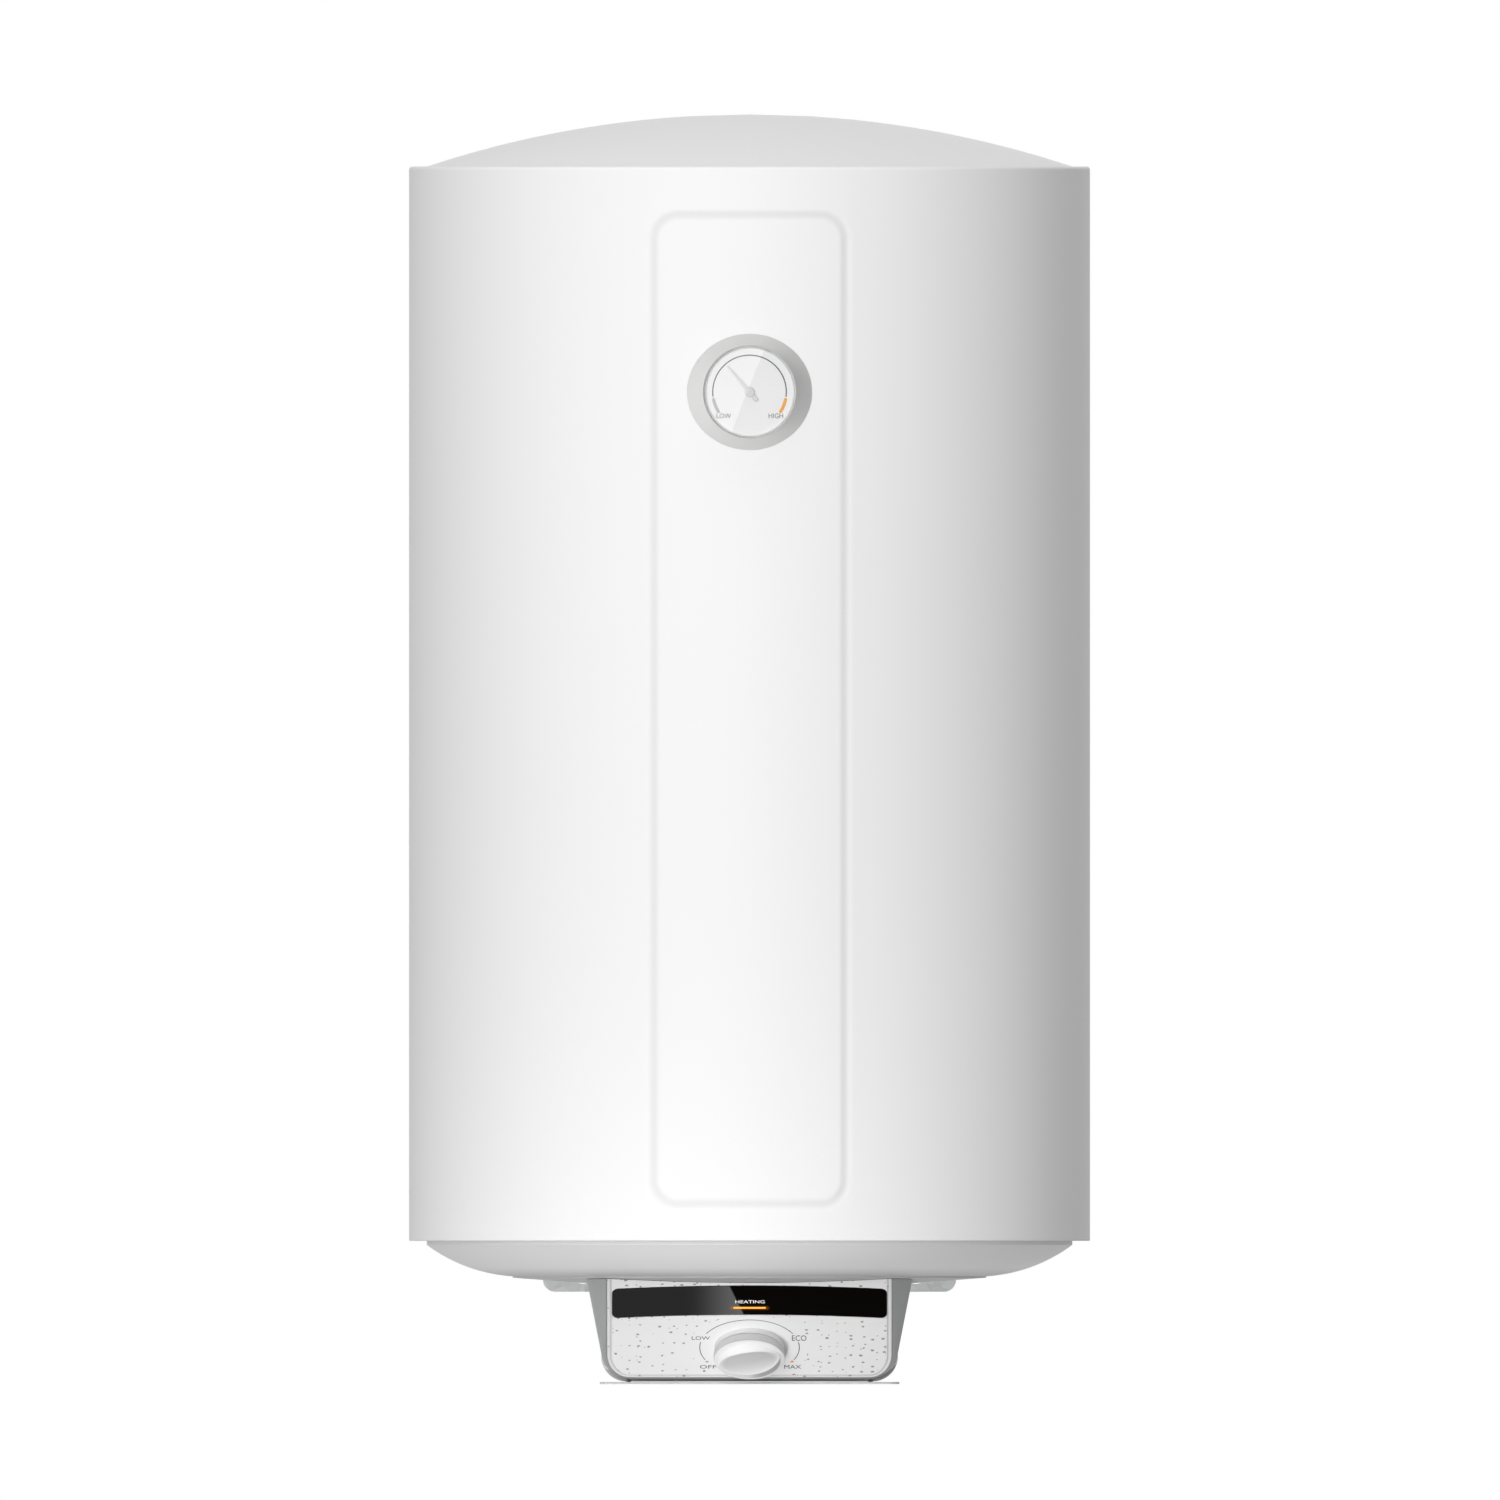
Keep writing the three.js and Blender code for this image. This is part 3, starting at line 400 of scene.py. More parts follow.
grey_ink = textured("grey_ink", (0.42, 0.42, 0.42), 0.5, 0.2, 0.003, shade=0.05)
orange_ink = textured("orange_ink", (0.78, 0.33, 0.035), 0.5, 0.2, 0.003, shade=0.05)


def with_painted_shade(material, shade):
    """Darkens a material towards a grey by the painted shade that its mesh stores at each corner."""
    nodes = Nodes(material)
    colour = nodes.shader.inputs["Base Color"].links[0].from_socket
    painted_shade = nodes.add("ShaderNodeAttribute", attribute_name="painted_shade").outputs["Fac"]
    nodes.drive("Base Color", nodes.blend(painted_shade, colour, (shade, shade, shade, 1)))
    return material


# The jacket's paint turns grey along the front groove: painted shade, read from its mesh.
paint = with_painted_shade(textured("white_enamel_paint", WHITE, 0.46, 2.6, 0.012, shade=0.01), 0.755)
cover_plastic = textured("pale_cover_plastic", (0.84, 0.84, 0.845), 0.45, 0.7, 0.012, shade=0.02)
# Painted shade darkens the bottom cover towards its lower edge.
cover_plastic = with_painted_shade(cover_plastic, 0.42)
knob_white = textured("white_knob_plastic", (0.75, 0.75, 0.75), 0.32, 1.2, 0.002, shade=0.01)
# Painted shade in the grip's hollow and in the scoop beside it.
knob_white = with_painted_shade(knob_white, 0.36)


def zinc_plated(name, colour, roughness, metallic=0.9):
    """Galvanised steel, with the crystal spangle of its zinc."""
    material = new_material(name, colour, roughness, metallic)
    nodes = Nodes(material)
    links = {"Vector": nodes.place(), "Scale": 160.0}
    spangle = nodes.add("ShaderNodeTexVoronoi", links)
    shade = nodes.add("ShaderNodeSeparateColor", {"Color": spangle.outputs["Color"]}).outputs[0]
    dark = tuple(value * 0.86 for value in colour)
    nodes.drive("Base Color", nodes.blend(shade, (*colour, 1), (*dark, 1)))
    nodes.drive("Roughness", nodes.remap(shade, 0, 1, roughness - 0.06, roughness + 0.08))
    nodes.bump(nodes.noise(nodes.place(), 900.0), 0.01 * MM)
    return material


zinc = zinc_plated("zinc_plated_steel", (0.62, 0.63, 0.63), 0.4)
bracket_zinc = zinc_plated("bracket_steel", (0.86, 0.89, 0.88), 0.5, 0.2)


def panel_point(nodes):
    """The point in the control panel's own millimetres, which its mesh carries."""
    return nodes.add("ShaderNodeAttribute", attribute_name="panel_mm").outputs["Vector"]


def distance_from(nodes, vector, place):
    gap = nodes.add("ShaderNodeVectorMath", {0: vector, 1: place}, operation="DISTANCE")
    return gap.outputs["Value"]


KNOB_PLACE = (0, -KNOB_DROP, 0)
BORDER = {"ease": 0.9, "start": 1.5, "width": 2.4, "depth": 0.45, "step": 0.15}  # of the panel
SCALE_RADIUS = 32.9
# Two sizes of flecks: room for each, share of the rooms that hold one, smallest and largest radius.
FLECKS = ((7.4, 0.5, 0.6, 1.2), (5.3, 0.2, 0.35, 0.55))
FLECK_CLEARANCE = 6  # bare ring round the knob's scale


def speckled_plastic():
    """White plastic with grey flecks, all but in the knob's scale, and with painted shade in its border's
    groove.
    """
    base = (0.84, 0.84, 0.84)
    material = new_material("speckled_white_plastic", base, 0.16)
    nodes = Nodes(material)
    point = panel_point(nodes)
    ragged = nodes.add("ShaderNodeTexNoise", {"Vector": point, "Scale": 1.1, "Detail": 2.0})
    shake = nodes.add(
        "ShaderNodeVectorMath", {0: ragged.outputs["Color"], 1: (1.4, 1.4, 0.0)}, operation="MULTIPLY",
    )
    shaken = nodes.add("ShaderNodeVectorMath", {0: point, 1: shake.outputs[0]}, operation="ADD")
    masks = []
    for cell, share, small, large in FLECKS:
        links = {"Vector": shaken.outputs[0], "Scale": 1 / cell}
        cells = nodes.add("ShaderNodeTexVoronoi", links, voronoi_dimensions="2D")
        chance = nodes.add("ShaderNodeSeparateColor", {"Color": cells.outputs["Color"]})
        size = nodes.remap(chance.outputs[0], 0, share, large / cell, small / cell)
        inside = nodes.sums("LESS_THAN", cells.outputs["Distance"], size)
        chosen = nodes.sums("LESS_THAN", chance.outputs[0], share)
        masks.append(nodes.sums("MULTIPLY", inside, chosen))
    fleck = nodes.sums("MAXIMUM", *masks)
    from_knob = distance_from(nodes, point, KNOB_PLACE)
    clear = nodes.sums("GREATER_THAN", from_knob, SCALE_RADIUS + FLECK_CLEARANCE)
    fleck = nodes.sums("MULTIPLY", fleck, clear)
    tone = nodes.noise(point, 0.35)
    ink = nodes.blend(tone, (0.22, 0.215, 0.21, 1), (0.42, 0.415, 0.41, 1))
    # Painted shade in the border's groove: the colour turns grey where the face is sunk.
    height = nodes.add("ShaderNodeSeparateXYZ", {"Vector": point}).outputs[2]
    groove_shade = nodes.remap(height, -BORDER["depth"], 0, 1, 0)
    ground = nodes.blend(groove_shade, (*base, 1), (0.56, 0.56, 0.56, 1))
    nodes.drive("Base Color", nodes.blend(fleck, ground, ink))
    grain = nodes.noise(point, 2.2, 3.0)
    nodes.drive("Roughness", nodes.remap(grain, 0.3, 0.7, 0.12, 0.2))
    nodes.bump(grain, 0.006 * MM)
    return material


LIGHT_Y = -30.5  # of the indicator bar, in the panel's frame
LIGHT_HALF = 10.75
AMBER = (1.0, 0.42, 0.05)


def display_glass():
    """Glossy black, with a faint amber glow round the indicator."""
    material = new_material("display_black", (0.004, 0.0025, 0.0025), 0.04)
    nodes = Nodes(material)
    point = panel_point(nodes)
    parts = nodes.add("ShaderNodeSeparateXYZ", {"Vector": point})
    across = nodes.sums("ABSOLUTE", parts.outputs[0])
    past_end = nodes.sums("MAXIMUM", nodes.sums("SUBTRACT", across, LIGHT_HALF), 0.0)
    above = nodes.sums("SUBTRACT", parts.outputs[1], LIGHT_Y)
    squares = [nodes.sums("MULTIPLY", gap, gap) for gap in (past_end, above)]
    gap = nodes.sums("SQRT", nodes.sums("ADD", *squares))
    glow = nodes.remap(gap, 0.8, 3.6, 1.0, 0.0)
    glow = nodes.sums("POWER", glow, 2.0)
    nodes.drive("Emission Color", nodes.blend(glow, (0, 0, 0, 1), (0.5, 0.16, 0.01, 1)))
    nodes.shader.inputs["Emission Strength"].default_value = 0.35
    dust = nodes.noise(point, 0.9, 3.0)
    nodes.drive("Roughness", nodes.remap(dust, 0.3, 0.7, 0.01, 0.03))
    return material


def indicator_light():
    """Amber plastic lit from behind, brightest along its middle."""
    material = new_material("indicator_amber", AMBER, 0.3)
    nodes = Nodes(material)
    parts = nodes.add("ShaderNodeSeparateXYZ", {"Vector": panel_point(nodes)})
    off_middle = nodes.sums("ABSOLUTE", nodes.sums("SUBTRACT", parts.outputs[1], LIGHT_Y))
    edge = nodes.remap(off_middle, 0.2, 1.0, 0.0, 1.0)
    nodes.drive("Emission Color", nodes.blend(edge, (1.0, 0.55, 0.12, 1), (0.8, 0.28, 0.02, 1)))
    nodes.shader.inputs["Emission Strength"].default_value = 0.6
    return material


def lettering_white():
    # Printed letters with painted light: they glow a little, though print gives no light.
    material = textured("lettering_white", (0.8, 0.8, 0.8), 0.4, 0.2, 0.002, shade=0.02)
    shader = material.node_tree.nodes["Principled BSDF"]
    shader.inputs["Emission Color"].default_value = (1, 1, 1, 1)
    shader.inputs["Emission Strength"].default_value = 0.35
    return material


def clear_lens():
    """Clear plastic that lets the lamps reach the dial under it."""
    material = new_material("lens_clear", (1, 1, 1), 0.0, Transmission_Weight=1.0, IOR=1.47)
    nodes = Nodes(material)
    haze = nodes.noise(nodes.place(), 60.0)
    nodes.drive("Roughness", nodes.remap(haze, 0.3, 0.7, 0.0, 0.01))
    passing = nodes.add("ShaderNodeBsdfTransparent").outputs[0]
    path = nodes.add("ShaderNodeLightPath").outputs
    lit = nodes.sums("MAXIMUM", path["Is Shadow Ray"], path["Is Diffuse Ray"])
    mixed = nodes.add("ShaderNodeMixShader", {0: lit, 1: nodes.shader.outputs[0], 2: passing})
    output = nodes.tree.nodes["Material Output"]
    nodes.tree.links.new(mixed.outputs[0], output.inputs["Surface"])
    return material


speckled = speckled_plastic()
display_black = display_glass()
indicator_amber = indicator_light()
white_letters = lettering_white()
lens_clear = clear_lens()


# ---------------- pieces
def piece(name, shape, place, material, nodes=(), body="heater", sharp=38):
    """Puts a shape into the scene as a smooth-shaded piece that rides on a body."""
    mesh = mesh_of(shape)
    mesh.transform(place)
    mesh.name = name
    mesh.shade_smooth()
    mesh.set_sharp_from_angle(angle=math.radians(sharp))
    mesh.materials.append(material)
    made = placed(name, mesh)
    even = made.modifiers.new("even_shading", "WEIGHTED_NORMAL")
    even.keep_sharp = True
    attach(made, body)
    if nodes:
        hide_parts(*nodes)
    return made


def store_painted_shade(made, place, painted_shade_at):
    """Stores how much painted shade each corner takes, from its place in a local frame."""
    to_local = place.inverted()
    store = made.data.attributes.new("painted_shade", "FLOAT", "POINT")
    for entry, vertex in zip(store.data, made.data.vertices):
        entry.value = painted_shade_at(*(to_local @ vertex.co))


def smooth(low, high, value):
    t = min(max((value - low) / (high - low), 0), 1)
    return t * t * (3 - 2 * t)


def with_panel_points(made):
    """Stores every corner's place in the panel's millimetres, for materials to read."""
    to_panel = PANEL.inverted()
    store = made.data.attributes.new("panel_mm", "FLOAT_VECTOR", "POINT")
    for entry, vertex in zip(store.data, made.data.vertices):
        entry.vector = to_panel @ vertex.co


def lettering(word, centre, size, low, high):
    """A word fitted to a (width, height) about a centre, as thin raised print."""
    curve = bpy.data.curves.new("word", "FONT")
    curve.body = word
    curve.extrude = 0.5
    curve.resolution_u = 3
    points, faces = as_evaluated(placed("word", curve))
    ends = [(min(p[axis] for p in points), max(p[axis] for p in points)) for axis in range(3)]
    targets = [(c - s / 2, c + s / 2) for c, s in zip(centre, size)] + [(low, high)]
    fitted = [
        tuple(t[0] + (p - e[0]) / (e[1] - e[0]) * (t[1] - t[0]) for p, e, t in zip(point, ends, targets))
        for point in points
    ]
    return fitted, faces


# ---------------- jacket and covers
GROOVE = {"half": 63.5, "low": 24.4, "high": 677.6, "corner": 16, "reach": 4.4, "depth": 0.7}
SEAM = {"half": 4.0, "height": 0.9, "low": 1.0, "high": 707.0}
LIP_RADIUS = 213.6
SHEET = 0.8
INNER_WALL = 1.7  # inside face of the jacket below its outside
TOP_ROLL = 2.2
BOTTOM_ROLL = 0.8


def groove_depth(x, z):
    """How deep the soft groove is at a point. It follows a rounded rectangle."""
    middle = (GROOVE["low"] + GROOVE["high"]) / 2
    past_x = abs(x) - GROOVE["half"] + GROOVE["corner"]
    past_z = abs(z - middle) - (GROOVE["high"] - GROOVE["low"]) / 2 + GROOVE["corner"]
    outside = math.hypot(max(past_x, 0), max(past_z, 0))
    away = abs(outside + min(max(past_x, past_z), 0) - GROOVE["corner"])
    if away > GROOVE["reach"]:
        return 0
    return GROOVE["depth"] * (0.5 + 0.5 * math.cos(math.pi * away / GROOVE["reach"]))


def seam_height(x, z):
    """Height of the folded seam down the back, with one crisp side and one soft side."""
    if not SEAM["low"] < z < SEAM["high"]:
        return 0
    rise = min((SEAM["half"] - x) / 0.35, (SEAM["half"] + x) / 1.5, 1)
    return SEAM["height"] * max(rise, 0)


def jacket_shape():
    edge = GROOVE["half"] + GROOVE["reach"] + 1
    inner_edge = GROOVE["half"] - GROOVE["corner"] - GROOVE["reach"]
    dense = [math.degrees(math.asin(x / RADIUS)) for x in (inner_edge, edge)]
    front = spread(-dense[1], -dense[0], 0.2) + spread(-dense[0], dense[0], 1.4)
    front += spread(dense[0], dense[1], 0.2)
    turns = front + spread(dense[1], 178.7, 3) + spread(178.7, 181.3, 0.13)
    turns += spread(181.3, 360 - dense[1], 3)
    turns = [math.radians(turn) for turn in turns]
    low = GROOVE["low"]
    high = GROOVE["high"]
    margin = GROOVE["reach"] + 1
    corner = GROOVE["corner"] + 3
    heights = [1.1, 1.4] + spread(2, low - margin, 6) + spread(low - margin, low + corner, 0.8)
    heights += spread(low + corner, high - corner, 18) + spread(high - corner, high + margin, 0.8)
    heights += spread(high + margin, SEAM["high"] - 0.2, 6) + [SEAM["high"] - 0.1, SEAM["high"] + 0.2]

    def loop(radius, z, formed=False):
        row = []
        for turn in turns:
            x = radius * math.sin(turn)
            r = radius
            if formed and math.cos(turn) > 0:
                r -= groove_depth(x, z)
            elif formed:
                r += seam_height(x, z)
            row.append((r * math.sin(turn), -r * math.cos(turn), z))
        return row

    rows = [loop(LIP_RADIUS, SHEET), loop(LIP_RADIUS, 0)]
    for sine, cosine in quarter(4):
        rows.append(loop(RADIUS - BOTTOM_ROLL * (1 - sine), BOTTOM_ROLL * (1 - cosine)))
    rows += [loop(RADIUS, z, formed=True) for z in heights]
    for sine, cosine in quarter(6):
        rows.append(loop(RADIUS - TOP_ROLL * (1 - cosine), HEIGHT - TOP_ROLL * (1 - sine)))
    rows += [loop(LIP_RADIUS, HEIGHT), loop(LIP_RADIUS, HEIGHT - SHEET)]
    inner = RADIUS - INNER_WALL
    rows += [loop(inner - 1.2, HEIGHT - SHEET), loop(inner, HEIGHT - 2.2), loop(inner, SHEET)]
    return loft(rows, closed=True)


arm_names = [f"{level}_bracket_arm_{side}" for level in ("upper", "lower") for side in ("left", "right")]


def arm_slot(name):
    """The space that an arm needs in the jacket."""
    low, high = node_box(name)
    return block(
        (low.x - 0.5, RADIUS - 30, low.z - 0.5),
        (high.x + 0.5, RADIUS + 10, high.z + 0.5),
    )


BEZEL = {"foot": 38.65, "slope": 0.77, "lip": 29.9, "bore": 31, "top": 10}
gauge_hole = moved(disc(BEZEL["bore"] + 0.6, -20, 20), TO_HEATER @ GAUGE)
jacket = cut(jacket_shape(), gauge_hole, *[arm_slot(name) for name in arm_names])
jacket_shell = piece("jacket_shell", jacket, HEATER, paint, ["outer_jacket"])
# Painted shade along the front groove, fullest where the groove is deepest.
store_painted_shade(jacket_shell, HEATER, lambda x, y, z: groove_depth(x, z) / GROOVE["depth"] if y < 0 else 0)

DOME = {"radius": 213, "rise": 34.4, "wall": 1.2, "seat": 221.5}
SPHERE = (DOME["radius"] ** 2 + DOME["rise"] ** 2) / (2 * DOME["rise"])


def dome_height(radius):
    return HEIGHT + DOME["rise"] - SPHERE + math.sqrt(SPHERE**2 - radius**2)


def top_cover_shape():
    """A shallow dome with a small roll at its edge, and a flange under the jacket's lip."""
    seat_top = HEIGHT - SHEET - GAP
    seat_low = seat_top - DOME["wall"]
    roll = 1.2
    stations = [(DOME["radius"] - roll) * math.sqrt(k / 28) for k in range(29)]
    outside = [(radius, dome_height(radius)) for radius in stations]
    edge_z = outside[-1][1]
    outside += [
        (DOME["radius"] - roll * (1 - sine), edge_z - roll * (1 - cosine))
        for sine, cosine in quarter(4)[1:]
    ]
    inside = [(radius, dome_height(radius) - DOME["wall"]) for radius in (0, 60, 120, 170, 211)]
    flange = [(211, seat_low), (DOME["seat"], seat_low), (DOME["seat"], seat_top)]
    return turned(inside + flange + [(DOME["radius"], seat_top)] + outside[::-1], 144)


piece("top_dome", top_cover_shape(), HEATER, paint, ["top_cover"])

DISH = {"rim": 213.3, "seat": 223.2, "step": 157, "drop": 1, "cone": 107, "floor": -28, "wall": 2}
SHOULDER = {"r": 150, "z": 82.4, "radius": 106}
OPENING = 78
PIPE_ROOM = 14.5  # radius of the hole round each pipe
WEB = {"half": 52, "front": 57.5}  # the part of the dish between the opening and the pipes


def dish_points(inset, steps=20):
    """The bottom cover's outside from its rim inwards: a round shoulder, a step, a cone."""
    radius = SHOULDER["radius"] - inset
    start = math.asin((DISH["rim"] - inset - SHOULDER["r"]) / radius)
    end = math.asin((DISH["step"] - SHOULDER["r"]) / radius)
    turns = [start + (end - start) * k / steps for k in range(steps + 1)]
    points = [
        (SHOULDER["r"] + radius * math.sin(a), SHOULDER["z"] - radius * math.cos(a)) for a in turns
    ]
    low = points[-1][1]
    points += [(DISH["step"] - 0.4, low - 0.15), (DISH["step"] - 0.7, low - DISH["drop"] + 0.15)]
    return points + [(DISH["step"] - 1.1, low - DISH["drop"]), (DISH["cone"], DISH["floor"] + inset)]


def dish_space():
    """All that is above the bottom cover's outside, which the box and the panel fit under."""
    face = [(radius, z - GAP) for radius, z in dish_points(0)[::-1]]
    return turned([(0, DISH["floor"] - GAP), *face, (DISH["rim"], 30), (0, 30)], 144)


pipe_nodes = {"cold": "cold_inlet_pipe", "hot": "hot_outlet_pipe"}


def centre_of(node):
    low, high = node_box(node)
    return (low + high) / 2


def over_node(shape, node):
    """A shape drawn about the z axis, shifted to a node's middle in x and y."""
    centre = centre_of(node)
    return shifted(shape, centre.x, centre.y)


def bottom_cover_shape():
    low = SHEET + GAP
    high = low + DISH["wall"]
    skirt = [(DISH["seat"], high), (DISH["seat"], low), (DISH["rim"] + 0.3, low), (DISH["rim"], low - 0.3)]
    roof = [(OPENING, DISH["floor"]), (OPENING, DISH["floor"] + DISH["wall"])]
    inside = [(radius, z + 0.3) for radius, z in dish_points(DISH["wall"], 6)[::-1]]
    rim = [(DISH["rim"] - DISH["wall"], high)]
    dish = turned(skirt + dish_points(0) + roof + inside + rim, 144)
    turns = [math.radians(50 + 80 * k / 20) for k in range(21)]
    web_edge = on_circle(OPENING + 1, turns)
    web_outline = [(-WEB["half"], WEB["front"]), *web_edge[::-1], (WEB["half"], WEB["front"])]
    web = prism(web_outline, DISH["floor"], DISH["floor"] + DISH["wall"])
    holes = [over_node(disc(PIPE_ROOM, -45, 0), node) for node in pipe_nodes.values()]
    return cut(joined(dish, web), *holes)


DISH_SHADE = (17, 25.5)  # depths between which painted shade darkens the cover's underside towards its lower edge
bottom_dish = piece(
    "bottom_dish", bottom_cover_shape(), HEATER, cover_plastic, ["bottom_cover"],
)
store_painted_shade(bottom_dish, HEATER, lambda x, y, z: smooth(*DISH_SHADE, -z))


# ---------------- control box
def trough(top_half, top, half, low, corner):
    """A U-shaped outline, from its upper right end round the bottom to its upper left end.

    Its sides may splay, and its lower corners are quarter ellipses of (across, up) radii.
    """
    across, up = corner
    right = [
        (top_half + (half - top_half) * k / 10, top + (low + up - top) * k / 10) for k in range(10)
    ]
    right += [(half - across * (1 - c), low + up * (1 - s)) for s, c in quarter(14)]
    return right + [(-x, y) for x, y in right[::-1]]


PLATE = {"half": 94.25, "length": 114.1, "lift": 8, "across": 14.7, "up": 27, "thick": 3}
BOX = {"top_half": 108.6, "top": -20, "half": 98, "low": -92.4, "across": 27, "up": 18}
SHELL = {"half": 98, "low": -92.9, "across": 17, "up": 16.4, "behind": 17}
BOX_WALL = 2.5
BOX_RIM = -1  # the box's front rim, behind the panel's face
FLANK_ROOM = 18  # depth behind the panel's face that the flanks may need
BOX_REAR = node_box("control_box_housing")[1].y
FLANK = {"fall": 0.85, "lean": 0.45, "reach": 0.35, "bulge": 0.5}  # how the sides curve back
BACK_EASE = 1.5  # of the edge round the box's back


def plate_outline(grow):
    half = PLATE["half"] + grow
    corner = (PLATE["across"] + grow, PLATE["up"] + grow)
    return trough(half, PLATE["lift"], half, -PLATE["length"] - grow, corner)


def box_outline(inset):
    corner = (BOX["across"] - inset, BOX["up"] - inset)
    half = BOX["half"] - inset
    return trough(BOX["top_half"] - inset, BOX["top"], half, BOX["low"] + inset, corner)


def rim_y(z, depth):
    """Heater y at a height, on the plane at that depth in front of the panel's face."""
    up = PANEL_IN_HEATER.to_3x3() @ Vector((0, 0, 1))
    origin = PANEL_IN_HEATER.translation
    return origin.y + (depth - up.z * (z - origin.z)) / up.y


def bezier(p0, p1, p2, p3, steps):
    places = []
    for k in range(steps + 1):
        t = k / steps
        u = 1 - t
        places.append(u**3 * p0 + 3 * u**2 * t * p1 + 3 * u * t**2 * p2 + t**3 * p3)
    return places


def box_body():
    """The box's outside: a slanted front rim, flanks that fall back to the sides, a flat back."""
    front_edge = plate_outline(0.9)
    sides = []
    for (px, py), (x, z) in zip(front_edge, box_outline(0)):
        rim = PANEL_IN_HEATER @ Vector((px, py, BOX_RIM))
        across = PANEL_IN_HEATER.inverted() @ Vector((x, rim_y(z, BOX_RIM), z))
        margin = math.hypot(across.x - px, across.y - py)
        fall = BOX_RIM - FLANK["fall"] * margin
        outer = Vector((x, rim_y(z, fall), z))
        lean = (outer.y - rim.y) * FLANK["lean"]
        from_rim = rim.lerp(outer, FLANK["reach"]) - Vector((0, FLANK["bulge"], 0))
        flank = bezier(rim, from_rim, outer - Vector((0, lean, 0)), outer, 8)
        inset = Vector((-math.copysign(BACK_EASE, x), 0, 0))
        if z <= BOX["low"] + 2:
            inset = Vector((0, 0, BACK_EASE))
        back = [Vector((x, BOX_REAR - BACK_EASE, z)), Vector((x, BOX_REAR - 0.4, z)) + inset * 0.3]
        back.append(Vector((x, BOX_REAR, z)) + inset)
        sides.append([tuple(point) for point in flank + back])
    rows = [list(row) for row in zip(*sides)]
    return loft(rows, capped=True)


def in_heater(shape):
    return moved(shape, PANEL_IN_HEATER)


SCREW = {"head": 3.7, "radius": 1.6}
SCREW_ROOM = 0.4  # clearance round a screw
screw_nodes = [f"access_screw_{number}" for number in (1, 2, 3, 4)]
gland_centre = centre_of("cable_gland")
GLAND = {"radius": 8, "bore": 4, "collar": 11.5, "inner": 50, "outer": 72}
ACCESS = {"half": 70, "front": 2, "rear": 50}  # the opening under the access cover


def access_opening():
    half, low = ACCESS["half"], BOX["low"]
    return block((-half, ACCESS["front"], low - 2), (half, ACCESS["rear"], low + 5))


def screw_holes():
    return [over_node(disc(SCREW["radius"] + SCREW_ROOM, -100, -85, 24), node) for node in screw_nodes]


def housing_shape():
    hollow = upright(box_outline(BOX_WALL), -160, BOX_REAR - BOX_WALL)
    behind_rim = in_heater(block((-150, -250, -250), (150, 100, -FLANK_ROOM)))
    hollow = combined("INTERSECT", hollow, [behind_rim])
    recess = in_heater(prism(plate_outline(0.2), -PLATE["thick"] - GAP, 12))
    ledge = 5
    opening = rectangle((-PLATE["half"] + ledge, ledge - PLATE["length"]), (PLATE["half"] - ledge, -6), 14)
    gland_hole = moved(disc(GLAND["radius"] + GAP, -80, -40, 48), STAND_UP)
    gland_hole = shifted(gland_hole, gland_centre.x, 0, gland_centre.z)
    through = in_heater(prism(opening, -FLANK_ROOM - 1, 0))
    openings = [recess, through, access_opening(), gland_hole, *screw_holes()]
    return cut(box_body(), dish_space(), hollow, *openings)


def lower_shell_shape():
    """The lower shell, which shows as a crescent round each lower corner of the box. Its paler plastic is
    partly its own colour and partly painted light on the crescents' forward-facing surface.
    """
    outer = trough(SHELL["half"], BOX["top"], SHELL["half"], SHELL["low"], (SHELL["across"], SHELL["up"]))
    rim = PANEL_IN_HEATER @ Vector((0, -PLATE["length"], BOX_RIM))
    solid = upright(outer, rim.y + SHELL["behind"], BOX_REAR - 1)
    inner = upright(box_outline(-0.05), -160, BOX_REAR)
    above = block((-200, -200, BOX["low"] + BOX["up"] + 2), (200, 200, 0))
    return cut(solid, inner, above, access_opening(), *screw_holes())


piece(
    "control_box", housing_shape(), HEATER, box_plastic, ["control_box_housing"],
    sharp=32,
)
# The lower shell's paler plastic is partly painted light on its crescents.
piece("lower_shell", lower_shell_shape(), HEATER, shell_plastic)


def access_cover_shape():
    low, high = node_box("access_cover")
    plate = prism(rectangle((low.x, low.y), (high.x, high.y), 8, 10), low.z, high.z)
    wide, narrow = SCREW["head"] + SCREW_ROOM, SCREW["radius"] + SCREW_ROOM
    sink = [(0, low.z - 1), (wide, low.z - 1), (wide, low.z)]
    sink += [(narrow, high.z), (narrow, high.z + 1), (0, high.z + 1)]
    sinks = [over_node(turned(sink, 32), node) for node in screw_nodes]
    return cut(eased(plate, 0.4, 3), *sinks)


piece("access_panel", access_cover_shape(), HEATER, shell_plastic, ["access_cover"])


def screw_shape(node):
    """A countersunk screw with a cross-shaped drive recess."""
    low, high = node_box(node)
    head = SCREW["head"]
    profile = [(0, low.z), (head - 0.3, low.z), (head, low.z + 0.15), (SCREW["radius"], low.z + 1.4)]
    pitch = 0.6
    turns = int((high.z - low.z - 2.2) / pitch)
    for number in range(turns):
        z = low.z + 1.5 + number * pitch
        profile += [(SCREW["radius"], z), (SCREW["radius"] - 0.25, z + pitch / 2)]
    profile += [(SCREW["radius"] - 0.25, high.z - 0.6), (0.4, high.z), (0, high.z)]
    body = turned(profile, 32)
    slots = [block((-x, -y, low.z - 1), (x, y, low.z + 1)) for x, y in ((2, 0.35), (0.35, 2))]
    return over_node(cut(body, *slots), node)


for node in screw_nodes:
    piece(node.replace("access_screw", "cover_screw"), screw_shape(node), HEATER, zinc, [node])

DISPLAY = {"half": 90.8, "top": -3.7, "height": 35.1, "arch": 994, "across": 4, "up": 6}


